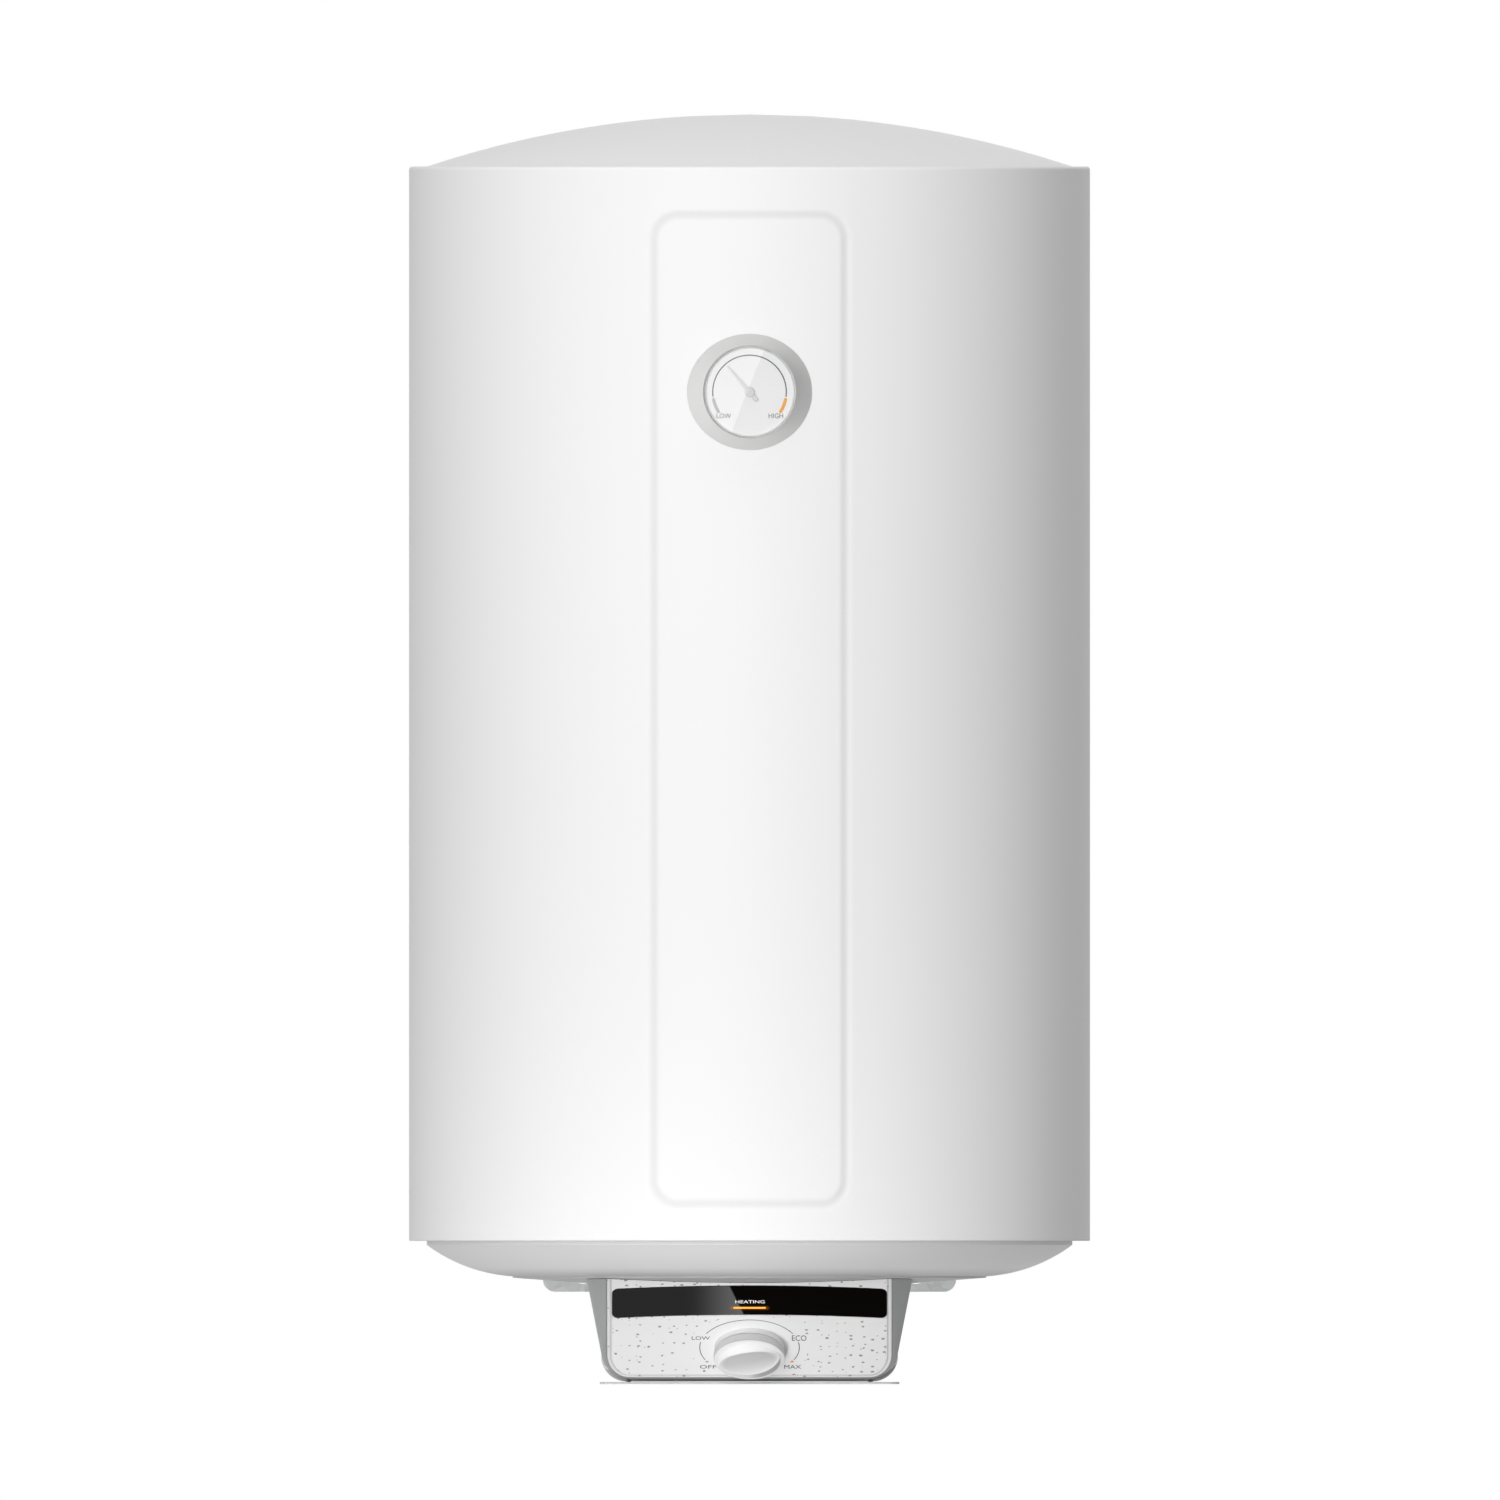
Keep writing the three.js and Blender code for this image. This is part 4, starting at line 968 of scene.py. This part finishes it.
def display_outline(grow):
    """A rounded rectangle bent so that its long edges arch gently upwards."""
    half = DISPLAY["half"] + grow
    top = DISPLAY["top"] + grow
    low = DISPLAY["top"] - DISPLAY["height"] - grow
    across = DISPLAY["across"] + grow
    up = DISPLAY["up"] + grow
    corner = [(half - across * (1 - c), top - up * (1 - s)) for s, c in quarter(10)]
    upper = corner + [(-x, top) for x in spread(across - half, half - across, 6)[1:]]
    upper += [(-x, y) for x, y in corner[::-1]]
    straight = [(x, top + low - y) for x, y in upper[::-1]]
    return [(x, y - x * x / (2 * DISPLAY["arch"])) for x, y in upper + straight]


SPINDLE_HOLE = 3.6  # its radius
light_low, light_high = (-LIGHT_HALF, LIGHT_Y - 1), (LIGHT_HALF, LIGHT_Y + 1)
dish_over_panel = moved(dish_space(), PANEL_IN_HEATER.inverted())


def panel_shape():
    """A plate with a rounded edge and a soft groove inside it, cut to fit the bottom cover."""
    ease, step = BORDER["ease"], BORDER["step"]
    profile = [(0, -PLATE["thick"])]
    profile += [(ease * (1 - cosine), -step - ease * (1 - sine)) for sine, cosine in quarter(5)]
    for k in range(13):
        share = k / 12
        dip = BORDER["depth"] * math.sin(math.pi * share) ** 2 + step * (1 - share) ** 2
        profile.append((BORDER["start"] + BORDER["width"] * share, -dip))
    rows = [[(x, y, z) for x, y in plate_outline(-inset)] for inset, z in profile]
    light_slot = block((*[v - 0.5 for v in light_low], -5), (*[v + 0.5 for v in light_high], 1))
    return cut(
        loft(rows, capped=True),
        dish_over_panel,
        prism(display_outline(GAP), -2, 1),
        light_slot,
        shifted(disc(SPINDLE_HOLE, -5, 1, 32), 0, -KNOB_DROP),
    )


def display_shape():
    edge = 0.5
    rows = [[(x, y, -1.7) for x, y in display_outline(0)]]
    for sine, cosine in quarter(3):
        rows.append([(x, y, -edge * (1 - sine)) for x, y in display_outline(-edge * (1 - cosine))])
    hole = block((*[v - GAP for v in light_low], -5), (*[v + GAP for v in light_high], 1))
    return cut(loft(rows, capped=True), hole)


with_panel_points(piece(
    "control_plate", panel_shape(), PANEL, speckled, ["control_panel"],
))
with_panel_points(piece(
    "display_glass", display_shape(), PANEL, display_black, ["display_window"],
))
light_bar = eased(prism(rectangle(light_low, light_high, 0.9, 4), -9, -0.05), 0.2, 2, 60)
with_panel_points(piece(
    "light_bar", light_bar, PANEL, indicator_amber, ["heating_indicator"],
))

PRINT = (0.01, 0.06)  # how far printed marks stand off their surface
piece(
    "word_heating", lettering("HEATING", (0.3, -23), (19.4, 3.6), *PRINT), PANEL, white_letters,
)


def knob_scale_shape():
    """The knob's scale: three arcs round it."""
    arcs = [(-60.2, 60.2), (78.9, 116.9), (-116.9, -78.9)]
    lines = [prism(arc_band(SCALE_RADIUS, start, end, 0.55), *PRINT) for start, end in arcs]
    return together(*lines)


piece("knob_scale", knob_scale_shape(), KNOB_SEAT, dark_ink)
SCALE_DOT = 121.3
for name, side, ink in (("dot_max", 1, orange_ink), ("dot_off", -1, grey_ink)):
    turn = math.radians(side * SCALE_DOT)
    dot = shifted(disc(1.15, *PRINT, 24), SCALE_RADIUS * math.sin(turn), SCALE_RADIUS * math.cos(turn))
    piece(name, dot, KNOB_SEAT, ink)
for word, centre, size in (
    ("LOW", (-32.2, -66.5), (12.0, 4.2)),
    ("ECO", (32.8, -66.5), (9.6, 6.6)),
    ("OFF", (-27.4, -100.9), (10.8, 4.2)),
    ("MAX", (28.5, -100.9), (11.2, 4.4)),
):
    piece(f"word_{word.lower()}", lettering(word, centre, size, *PRINT), PANEL, dark_ink)

# ---------------- knob
SKIRT = {"hub": 18, "radius": 23.65, "seat": 0.4, "hub_top": 4.2, "top": 9.2, "bore": 3.3}
CAP = {"radius": 23.3, "low": 9.5, "edge": 9.9, "ring": 20.2, "ring_height": 10.9}
SOCKET = {"radius": 3.3, "top": 12.3}  # in the cap, for the spindle
GRIP = {"length": 21.5, "upper": 16, "lower": 12.4, "tip": 11.6, "middle": 14.9, "tilt": 0.27}
HOLLOW = {"bowl": 1.3, "groove_shade": 0.6}  # of the grip's face: a round bowl, and a level with steep sides


def skirt_shape():
    corners = [
        (SKIRT["bore"], SKIRT["seat"], 0), (SKIRT["hub"], SKIRT["seat"], 0.4),
        (SKIRT["hub"], SKIRT["hub_top"], 0.6), (SKIRT["radius"], SKIRT["hub_top"], 0.8),
        (SKIRT["radius"], SKIRT["top"], 0.5), (SKIRT["bore"], SKIRT["top"], 0),
    ]
    return turned(filleted(corners), 96)


def grip_half_width(x, y):
    """How far the leaf-shaped grip reaches, at a place along it, to the side that y is on."""
    length = GRIP["length"]
    width = GRIP["upper"] if y > 0 else GRIP["lower"]
    arc = (length**2 + width**2) / (2 * width)
    return math.sqrt(max(arc**2 - x * x, 0)) - arc + width


def grip_hollow(x, y):
    """How far the leaf-shaped face is hollowed at a place."""
    half = grip_half_width(x, y)
    if abs(y) >= half:
        return 0
    across = abs(y) / half
    along = min(abs(x) / GRIP["length"], 1)
    return (1 - along**2) * (HOLLOW["bowl"] * (1 - across**2) + HOLLOW["groove_shade"] * (1 - across**8))


def cap_height(x, y):
    """The cap's face: a sloping rim, flanks, and a leaf-shaped grip with a hollowed face."""
    away = math.hypot(x, y)
    ring = CAP["ring"]
    slope = min(max((CAP["radius"] - 0.3 - away) / (CAP["radius"] - 0.3 - ring), 0), 1)
    ground = CAP["edge"] + (CAP["ring_height"] - CAP["edge"]) * slope
    half = grip_half_width(x, y)
    along = min(abs(x) / GRIP["length"], 1)
    lift = 1 - GRIP["tilt"] * (1 - min(max(y / GRIP["upper"], -1), 1))
    edge = GRIP["tip"] + (GRIP["middle"] - GRIP["tip"]) * (1 - along**2) * lift
    if abs(y) < half:
        return edge - grip_hollow(x, y)
    foot = max(math.sqrt(max(ring**2 - x * x, 0)), half + 0.6)
    climb = min(max((foot - abs(y)) / (foot - half), 0), 1)
    return ground + (edge - ground) * climb


def cap_shade(x, y, z):
    """Painted shade in the leaf's hollow, deeper towards its upper side, and in the scoop beside its lower
    edge near its point.
    """
    beside = smooth(0.4, 1.4, -y - grip_half_width(x, y))
    within = 1 - smooth(CAP["ring"], CAP["ring"] + 0.5, math.hypot(x, y))
    scoop = beside * within * smooth(-8, 2, x)
    deepest = min(max(0.56 + 0.03 * y, 0.2), 0.62)
    return max(min(grip_hollow(x, y) * 0.8, deepest), scoop)


def cap_shape():
    turns = full_turn(240)
    low, radius = CAP["low"], CAP["radius"]
    back = [(0, SOCKET["top"]), (SOCKET["radius"], SOCKET["top"]), (SOCKET["radius"], low)]
    back += [(radius - 0.2, low), (radius, low + 0.1), (radius, 9.7)]
    rows = [[(x, y, z) for x, y in on_circle(r, turns)] for r, z in back]
    radii = [radius - 0.05, radius - 0.3] + spread(radius - 0.6, 0, 0.3) + [0]
    rows += [[(x, y, cap_height(x, y)) for x, y in on_circle(r, turns)] for r in radii]
    return loft(rows)


def knob_boss_shape():
    """The raised ring on the panel that fills the room under the knob's skirt."""
    inner, outer = SKIRT["hub"] + 0.4, SKIRT["radius"] - 0.45
    top = SKIRT["hub_top"] - 0.4
    corners = [(inner, 0, 0), (outer, 0, 0), (outer, top, 0.4), (inner, top, 0)]
    return turned(filleted(corners), 96)


piece("knob_boss", knob_boss_shape(), KNOB_SEAT, boss_plastic)
piece("knob_base", skirt_shape(), KNOB, knob_grey, ["knob_skirt"], "knob")
knob_grip = piece("knob_grip", cap_shape(), KNOB, knob_white, ["knob_cap"], "knob", 60)
store_painted_shade(knob_grip, KNOB, cap_shade)


# ---------------- temperature gauge
def jacket_behind(x):
    """Height of the jacket's surface in the gauge's frame."""
    return math.sqrt(RADIUS**2 - x * x) - RADIUS


def bezel_shape():
    """A conical ring whose back follows the jacket's curve."""
    turns = full_turn(128)
    top = BEZEL["top"]
    upper = BEZEL["foot"] - BEZEL["slope"] * top
    clear = GAP + 0.05

    def foot(a):
        radius = BEZEL["foot"]
        for _ in range(6):
            radius = BEZEL["foot"] - BEZEL["slope"] * (jacket_behind(radius * math.cos(a)) + clear)
        return radius

    feet = [foot(a) for a in turns]

    def loop(radii, height=None):
        row = []
        for a, radius in zip(turns, radii):
            x = radius * math.cos(a)
            z = jacket_behind(x) + clear if height is None else height
            row.append((x, radius * math.sin(a), z))
        return row

    def even(radius, height=None):
        return loop([radius] * len(turns), height)

    rows = [even(BEZEL["bore"]), loop(feet)]
    for share in (0.03, 0.35, 0.7, 0.9):
        row = []
        for a, radius in zip(turns, feet):
            r = radius + (upper + 0.4 - radius) * share
            z = jacket_behind(radius * math.cos(a)) + clear
            row.append((r * math.cos(a), r * math.sin(a), z + (top - 0.5 - z) * share))
        rows.append(row)
    rows += [even(upper + 0.05, top - 0.08), even(upper - 0.15, top), even(upper - 0.35, top - 0.1)]
    rows += [even(BEZEL["lip"], top - 1.2), even(BEZEL["lip"], 8.5), even(BEZEL["bore"], 8.5)]
    return loft(rows, closed=True)


piece("gauge_ring", bezel_shape(), GAUGE, bezel_metal, ["gauge_bezel"])

DIAL_FACE = 4
dial_profile = [
    (1.5, 3), (29.0, 3), (29.45, 3.4), (29.45, 6.2), (29.2, 6.25), (29.1, 4.5), (28.6, DIAL_FACE),
    (1.5, DIAL_FACE),
]
dial = turned(dial_profile, 96)
piece("gauge_face", dial, GAUGE, dial_white, ["gauge_dial"])
DIAL_PRINT = tuple(DIAL_FACE + height for height in PRINT)
DIAL_SCALE = 24.3


def rounded_arc(radius, start, end, width):
    """An arc with round ends."""
    ends = []
    for turn in (start, end):
        a = math.radians(turn)
        ends.append(shifted(disc(width / 2, *DIAL_PRINT, 20), radius * math.sin(a), radius * math.cos(a)))
    return joined(prism(arc_band(radius, start, end, width), *DIAL_PRINT), *ends)


scale_line = prism(arc_band(DIAL_SCALE, -97.4, 97.4, 0.75, 96), *DIAL_PRINT)
piece("gauge_scale", scale_line, GAUGE, dark_ink)
piece("gauge_low_mark", rounded_arc(DIAL_SCALE, -122.3, -101.9, 2.1), GAUGE, grey_ink)
piece("gauge_high_mark", rounded_arc(DIAL_SCALE, 101.9, 122.3, 2.1), GAUGE, orange_ink)
for word, centre in (("LOW", -17), ("HIGH", 17.4)):
    shape = lettering(word, (centre, -15.8), (9.6, 3.2), *DIAL_PRINT)
    piece(f"gauge_word_{word.lower()}", shape, GAUGE, dark_ink)


POINTER = {"tip": 22.5, "tail": 6.5, "low": 4.6, "high": 5.4}


def needle_shape():
    """A tapered pointer with a hub and a tail that is open along its middle."""
    tip, low, high = POINTER["tip"], POINTER["low"], POINTER["high"]
    round_end = on_circle(1.5, [-math.pi * k / 10 for k in range(11)])
    tail = [(x, y - POINTER["tail"]) for x, y in round_end]
    outline = [(0.35, tip), (0.9, 10), (1.5, 0), *tail, (-1.5, 0), (-0.9, 10), (-0.35, tip)]
    pointer = eased(prism(outline, low, high), 0.15, 2)
    hub = turned([(0, low), (3.2, low), (3.2, 5.6), (2.9, 5.9), (0, 5.95)], 48)
    slot = prism(rectangle((-0.7, -7.2), (0.7, -3.9), 0.65), 4, 7)
    return joined(cut(pointer, slot), hub)


piece("needle_pointer", needle_shape(), NEEDLE, needle_white, ["gauge_needle"], "needle")
LENS = {"radius": 30.7, "back": 6.6, "front": 8.2}
lens = [
    (0, LENS["back"]), (LENS["radius"] - 0.2, LENS["back"]), (LENS["radius"], LENS["back"] + 0.2),
    (LENS["radius"], LENS["front"] - 0.2), (LENS["radius"] - 0.2, LENS["front"]), (0, LENS["front"]),
]
piece("gauge_window", turned(lens, 96), GAUGE, lens_clear, ["gauge_lens"])

# ---------------- water connections
THREAD_PITCH = 1.814
THREAD_DEPTH = 1.0
THREAD_LENGTH = 22
PIPE_WALL = 2.98


def threaded_pipe(node):
    """A pipe whose lower end has a half-inch thread."""
    low, high = node_box(node)
    outer = (high.x - low.x) / 2
    bore = outer - PIPE_WALL
    turns = full_turn(48)
    thread_top = low.z + THREAD_LENGTH

    def loop(radius, z, threaded=0.0):
        row = []
        for a in turns:
            phase = (z / THREAD_PITCH - a / (2 * math.pi)) % 1
            ridge = 1 - abs(2 * phase - 1)
            r = radius - THREAD_DEPTH * threaded * (1 - ridge)
            row.append((r * math.cos(a), r * math.sin(a), z))
        return row

    rows = [loop(bore + 0.4, low.z), loop(outer - THREAD_DEPTH - 0.3, low.z)]
    for z in spread(low.z + 0.8, thread_top, THREAD_PITCH / 8):
        rows.append(loop(outer, z, 1 - smooth(thread_top - 2.5, thread_top, z)))
    rows += [loop(outer, thread_top + 0.2), loop(outer, high.z - 0.4), loop(outer - 0.4, high.z)]
    rows += [loop(bore, high.z), loop(bore, low.z + 0.4)]
    return over_node(loft(rows, closed=True), node)


RING = {"bore": 10.78, "neck": 14.2}


def pipe_ring(node):
    """A coloured ring that marks a pipe, with a grooved collar."""
    low, high = node_box(node)
    collar = (high.x - low.x) / 2
    corners = [
        (RING["bore"], low.z, 0.3), (collar, low.z, 0.8), (collar, low.z + 3.2, 0.2),
        (collar - 0.7, low.z + 3.6, 0.2), (collar - 0.7, low.z + 4.8, 0.2), (collar, low.z + 5.2, 0.2),
        (collar, low.z + 8.6, 0.8), (RING["neck"], low.z + 8.6, 0.3), (RING["neck"], high.z, 0.5),
        (RING["bore"], high.z, 0.3),
    ]
    return over_node(turned(filleted(corners), 64), node)


for kind, colour, material in (("cold", "blue", blue_plastic), ("hot", "red", red_plastic)):
    node = pipe_nodes[kind]
    piece(f"{kind}_pipe", threaded_pipe(node), HEATER, zinc, [node])
    ring_node = node.replace("pipe", "ring")
    piece(f"{kind}_ring", pipe_ring(ring_node), HEATER, material, [ring_node])


def gland_shape():
    """A cable gland, drawn with its axis along z and its open end upwards."""
    body = turned(filleted([
        (GLAND["bore"], GLAND["inner"], 0.3), (GLAND["radius"], GLAND["inner"], 0.6),
        (GLAND["radius"], GLAND["outer"], 2.0), (GLAND["bore"], GLAND["outer"], 0.8),
    ]), 64)
    flats = [math.radians(60 * k + 30) for k in range(6)]
    hexagon = prism(on_circle(GLAND["collar"], flats), BOX_REAR + GAP, BOX_REAR + 7)
    collar = eased(hexagon, 0.5, 2)
    return joined(body, cut(collar, disc(GLAND["radius"] - 0.5, 50, 80, 48)))


gland_place = HEATER @ Matrix.Translation((gland_centre.x, 0, gland_centre.z))
gland_place = gland_place @ Matrix.Rotation(-math.pi / 2, 4, "X")
piece("supply_gland", gland_shape(), gland_place, black_plastic, ["cable_gland"])

# ---------------- wall mounting
SLOT_HALF = 5.5
UPPER_BOLT_X = 100
LOWER_BOLT_X = 110
LEG_X = 60
TANK_SIDE = 196.3  # radius that the arms' inner ends follow

def slot_cut(x, low, high):
    outline = rectangle((x - SLOT_HALF, low), (x + SLOT_HALF, high), SLOT_HALF - 0.05, 10)
    return upright(outline, 230, 260)


def upper_bracket():
    low, high = node_box("upper_wall_bracket")
    plate = upright(rectangle((low.x, low.z), (high.x, high.z), 8, 8), low.y, high.y)
    slots = [slot_cut(x, low.z - 20, high.z - 21.5) for x in (-UPPER_BOLT_X, UPPER_BOLT_X)]
    return eased(cut(plate, *slots), 0.5, 2)


def lower_bracket():
    low, high = node_box("lower_wall_bracket")
    bar = upright(rectangle((low.x, low.z), (high.x, -3), 8, 8), low.y, high.y)
    sides = [rectangle((x - 14, -20), (x + 14, high.z), 4, 5) for x in (-LEG_X, LEG_X)]
    legs = [upright(side, low.y, high.y) for side in sides]
    slots = [slot_cut(x, -28.5, -7.5) for x in (-LOWER_BOLT_X, LOWER_BOLT_X)]
    return eased(cut(joined(bar, *legs), *slots), 0.5, 2)


piece("wall_bar_upper", upper_bracket(), HEATER, bracket_zinc, ["upper_wall_bracket"])
piece("wall_bar_lower", lower_bracket(), HEATER, bracket_zinc, ["lower_wall_bracket"])


def arm_shape(node):
    """A rib set on edge, whose inner end follows the tank."""
    low, high = node_box(node)
    rib = eased(block(low, high), 0.6, 2)
    return cut(rib, disc(TANK_SIDE, low.z - 20, high.z + 20, 96))


for node in arm_names:
    piece(node.replace("bracket_", ""), arm_shape(node), HEATER, bracket_zinc, [node])

# ---------------- CAD nodes that stay
KEPT = {
    "insulation_foam": foam, "tank_barrel": enamel, "tank_upper_head": enamel,
    "tank_lower_head": enamel, "flange_neck": enamel, "flange_gasket": rubber, "flange_plate": zinc,
    "heating_element": copper, "thermostat_pocket": copper, "anode_rod": magnesium,
    "anode_nut": zinc, "inlet_diffuser": inner_plastic, "hot_riser_tube": inner_plastic,
    "indicator_board": board_green, "thermostat_body": black_plastic, "thermostat_spindle": zinc,
    "thermostat_rod": copper, "safety_cutout": black_plastic, "reset_button": red_plastic,
    "terminal_block": inner_plastic, "neutral_wire": blue_wire, "live_wire": brown_wire,
    "gauge_case": knob_grey, "gauge_movement": brass, "gauge_capillary": copper,
    "gauge_sensor_bulb": copper, "gauge_arbor": zinc,
}
KEPT |= {f"flange_bolt_{number}": zinc for number in (1, 2, 3, 4)}
for node, material in KEPT.items():
    for kept_slot in frame["nodes"][node].material_slots:
        kept_slot.material = material

# ---------------- setting
def emitter(name, strength):
    """Plain white light."""
    material = bpy.data.materials.new(name)
    material.use_nodes = True
    material.node_tree.nodes.clear()
    nodes = Nodes(material)
    glow = nodes.add("ShaderNodeEmission", {"Color": (1, 1, 1, 1), "Strength": strength})
    nodes.add("ShaderNodeOutputMaterial", {"Surface": glow.outputs[0]})
    return material


def card(name, corners, material):
    """A studio card that only shows in reflections."""
    mesh = bpy.data.meshes.new(name)
    mesh.from_pydata(corners, [], [tuple(range(len(corners)))])
    mesh.materials.append(material)
    made = placed(name, mesh)
    made.visible_camera = False
    made.visible_diffuse = False
    made.visible_shadow = False
    made.visible_transmission = False


FLOOR_Z = -1.9
FLOOR_HALF = 20
floor_material = textured(
    "studio_floor", (0.8, 0.8, 0.8), 0.8, 4, 0.02, shade=0.02, Emission_Color=(1, 1, 1, 1),
    Emission_Strength=0.6,
)
floor_mesh = bpy.data.meshes.new("studio_floor")
floor_corners = [
    (x * FLOOR_HALF, y * FLOOR_HALF, FLOOR_Z) for x, y in ((-1, -1), (1, -1), (1, 1), (-1, 1))
]
floor_mesh.from_pydata(floor_corners, [], [(0, 1, 2, 3)])
floor_mesh.materials.append(floor_material)
studio_floor = placed("studio_floor", floor_mesh)
studio_floor.visible_diffuse = False
studio_floor.visible_glossy = False

world = bpy.data.worlds.new("studio")
bpy.context.scene.world = world
world.use_nodes = True
sky = Nodes(world)
direction = sky.add("ShaderNodeTexCoord").outputs["Generated"]
along = sky.add("ShaderNodeSeparateXYZ", {0: direction}).outputs
path = sky.add("ShaderNodeLightPath").outputs


def graded(axis, at_low, at_high):
    """Light that changes from one side of the room to the other along an axis."""
    return sky.remap(along[axis], -1, 1, at_low, at_high)


# Matt surfaces are lit a little more from above, and gloss shows a room that is bright at the left.
gloss = sky.sums("ADD", graded("X", 1.1, 0.42), graded("Z", 0.05, -0.05))
by_surface = {0: path["Is Glossy Ray"], 2: graded("Z", 0.28, 0.42), 3: gloss}
strength = sky.add("ShaderNodeMix", by_surface).outputs[0]
ambient = sky.add("ShaderNodeBackground", {"Color": (1, 1, 1, 1), "Strength": strength})
backdrop = sky.add("ShaderNodeBackground", {"Color": (1, 1, 1, 1)})
by_ray = {0: path["Is Camera Ray"], 1: ambient.outputs[0], 2: backdrop.outputs[0]}
seen = sky.add("ShaderNodeMixShader", by_ray).outputs[0]
sky.tree.links.new(seen, sky.tree.nodes["World Output"].inputs["Surface"])


def lamp(name, place, target, size, power):
    data = bpy.data.lights.new(name, "AREA")
    data.shape = "RECTANGLE"
    data.size, data.size_y = size
    data.energy = power
    made = placed(name, data)
    made.location = place
    made.rotation_euler = (Vector(target) - Vector(place)).to_track_quat("-Z", "Y").to_euler()
    made.visible_glossy = False
    made.visible_transmission = False
    return data


MIDDLE = (0, -0.24, -0.2)
lamp("key", (-0.75, -3.7, 0.15), MIDDLE, (2.0, 2.0), 87)
lamp("top", (0, -0.5, 2.6), MIDDLE, (2.2, 2.0), 19)
lamp("rear_fill", (1.4, 3.2, 1.0), MIDDLE, (2.4, 2.4), 45)
panel_lamp = lamp("panel_lamp", (-0.25, -0.95, -1.35), (0, -0.26, -0.595), (0.35, 0.35), 0.22)
panel_lamp.spread = math.radians(26)

# The glossy display mirrors this level card, whose slanted edge crosses it a little left of
# the middle: light that fades to the left, and nothing to the right.
MIRRORED_Z = -0.78
EDGE_NEAR = (-0.0138, -0.2685)
EDGE_FAR = (-0.0038, -0.2465)
CARD_END = 0.3
FADE = {1: -0.046, 2: 0.004, 3: 0.27, 4: 1.7}  # from this x to that, and from this strength to that


def edge_x(y):
    share = (y - EDGE_NEAR[1]) / (EDGE_FAR[1] - EDGE_NEAR[1])
    return EDGE_NEAR[0] + share * (EDGE_FAR[0] - EDGE_NEAR[0])


def fading_light():
    material = emitter("fading_light", 1.0)
    nodes = Nodes(material)
    across = nodes.add("ShaderNodeSeparateXYZ", {0: nodes.place()}).outputs["X"]
    rise = nodes.add("ShaderNodeMapRange", {"Value": across, **FADE}, interpolation_type="SMOOTHERSTEP")
    glow = nodes.tree.nodes["Emission"]
    nodes.tree.links.new(rise.outputs["Result"], glow.inputs["Strength"])
    return material


near_y, far_y = -0.34, -0.16
near_edge, far_edge = [(edge_x(y), y, MIRRORED_Z) for y in (near_y, far_y)]
for name, end, light in (
    ("display_light", -CARD_END, fading_light()),
    ("display_dark", CARD_END, emitter("no_light", 0.01)),
):
    corners = [near_edge, (end, near_y, MIRRORED_Z), (end, far_y, MIRRORED_Z), far_edge]
    card(name, corners, light)

# The gauge's lens mirrors this one, left of a slanted edge.
LENS_CARD = [(0.0124, 0.055), (-0.0025, 0.019), (-0.0144, -0.013), (-0.06, -0.013), (-0.06, 0.055)]
card("lens_card", [(x, -2, z) for x, z in LENS_CARD], emitter("lens_light", 3.2))
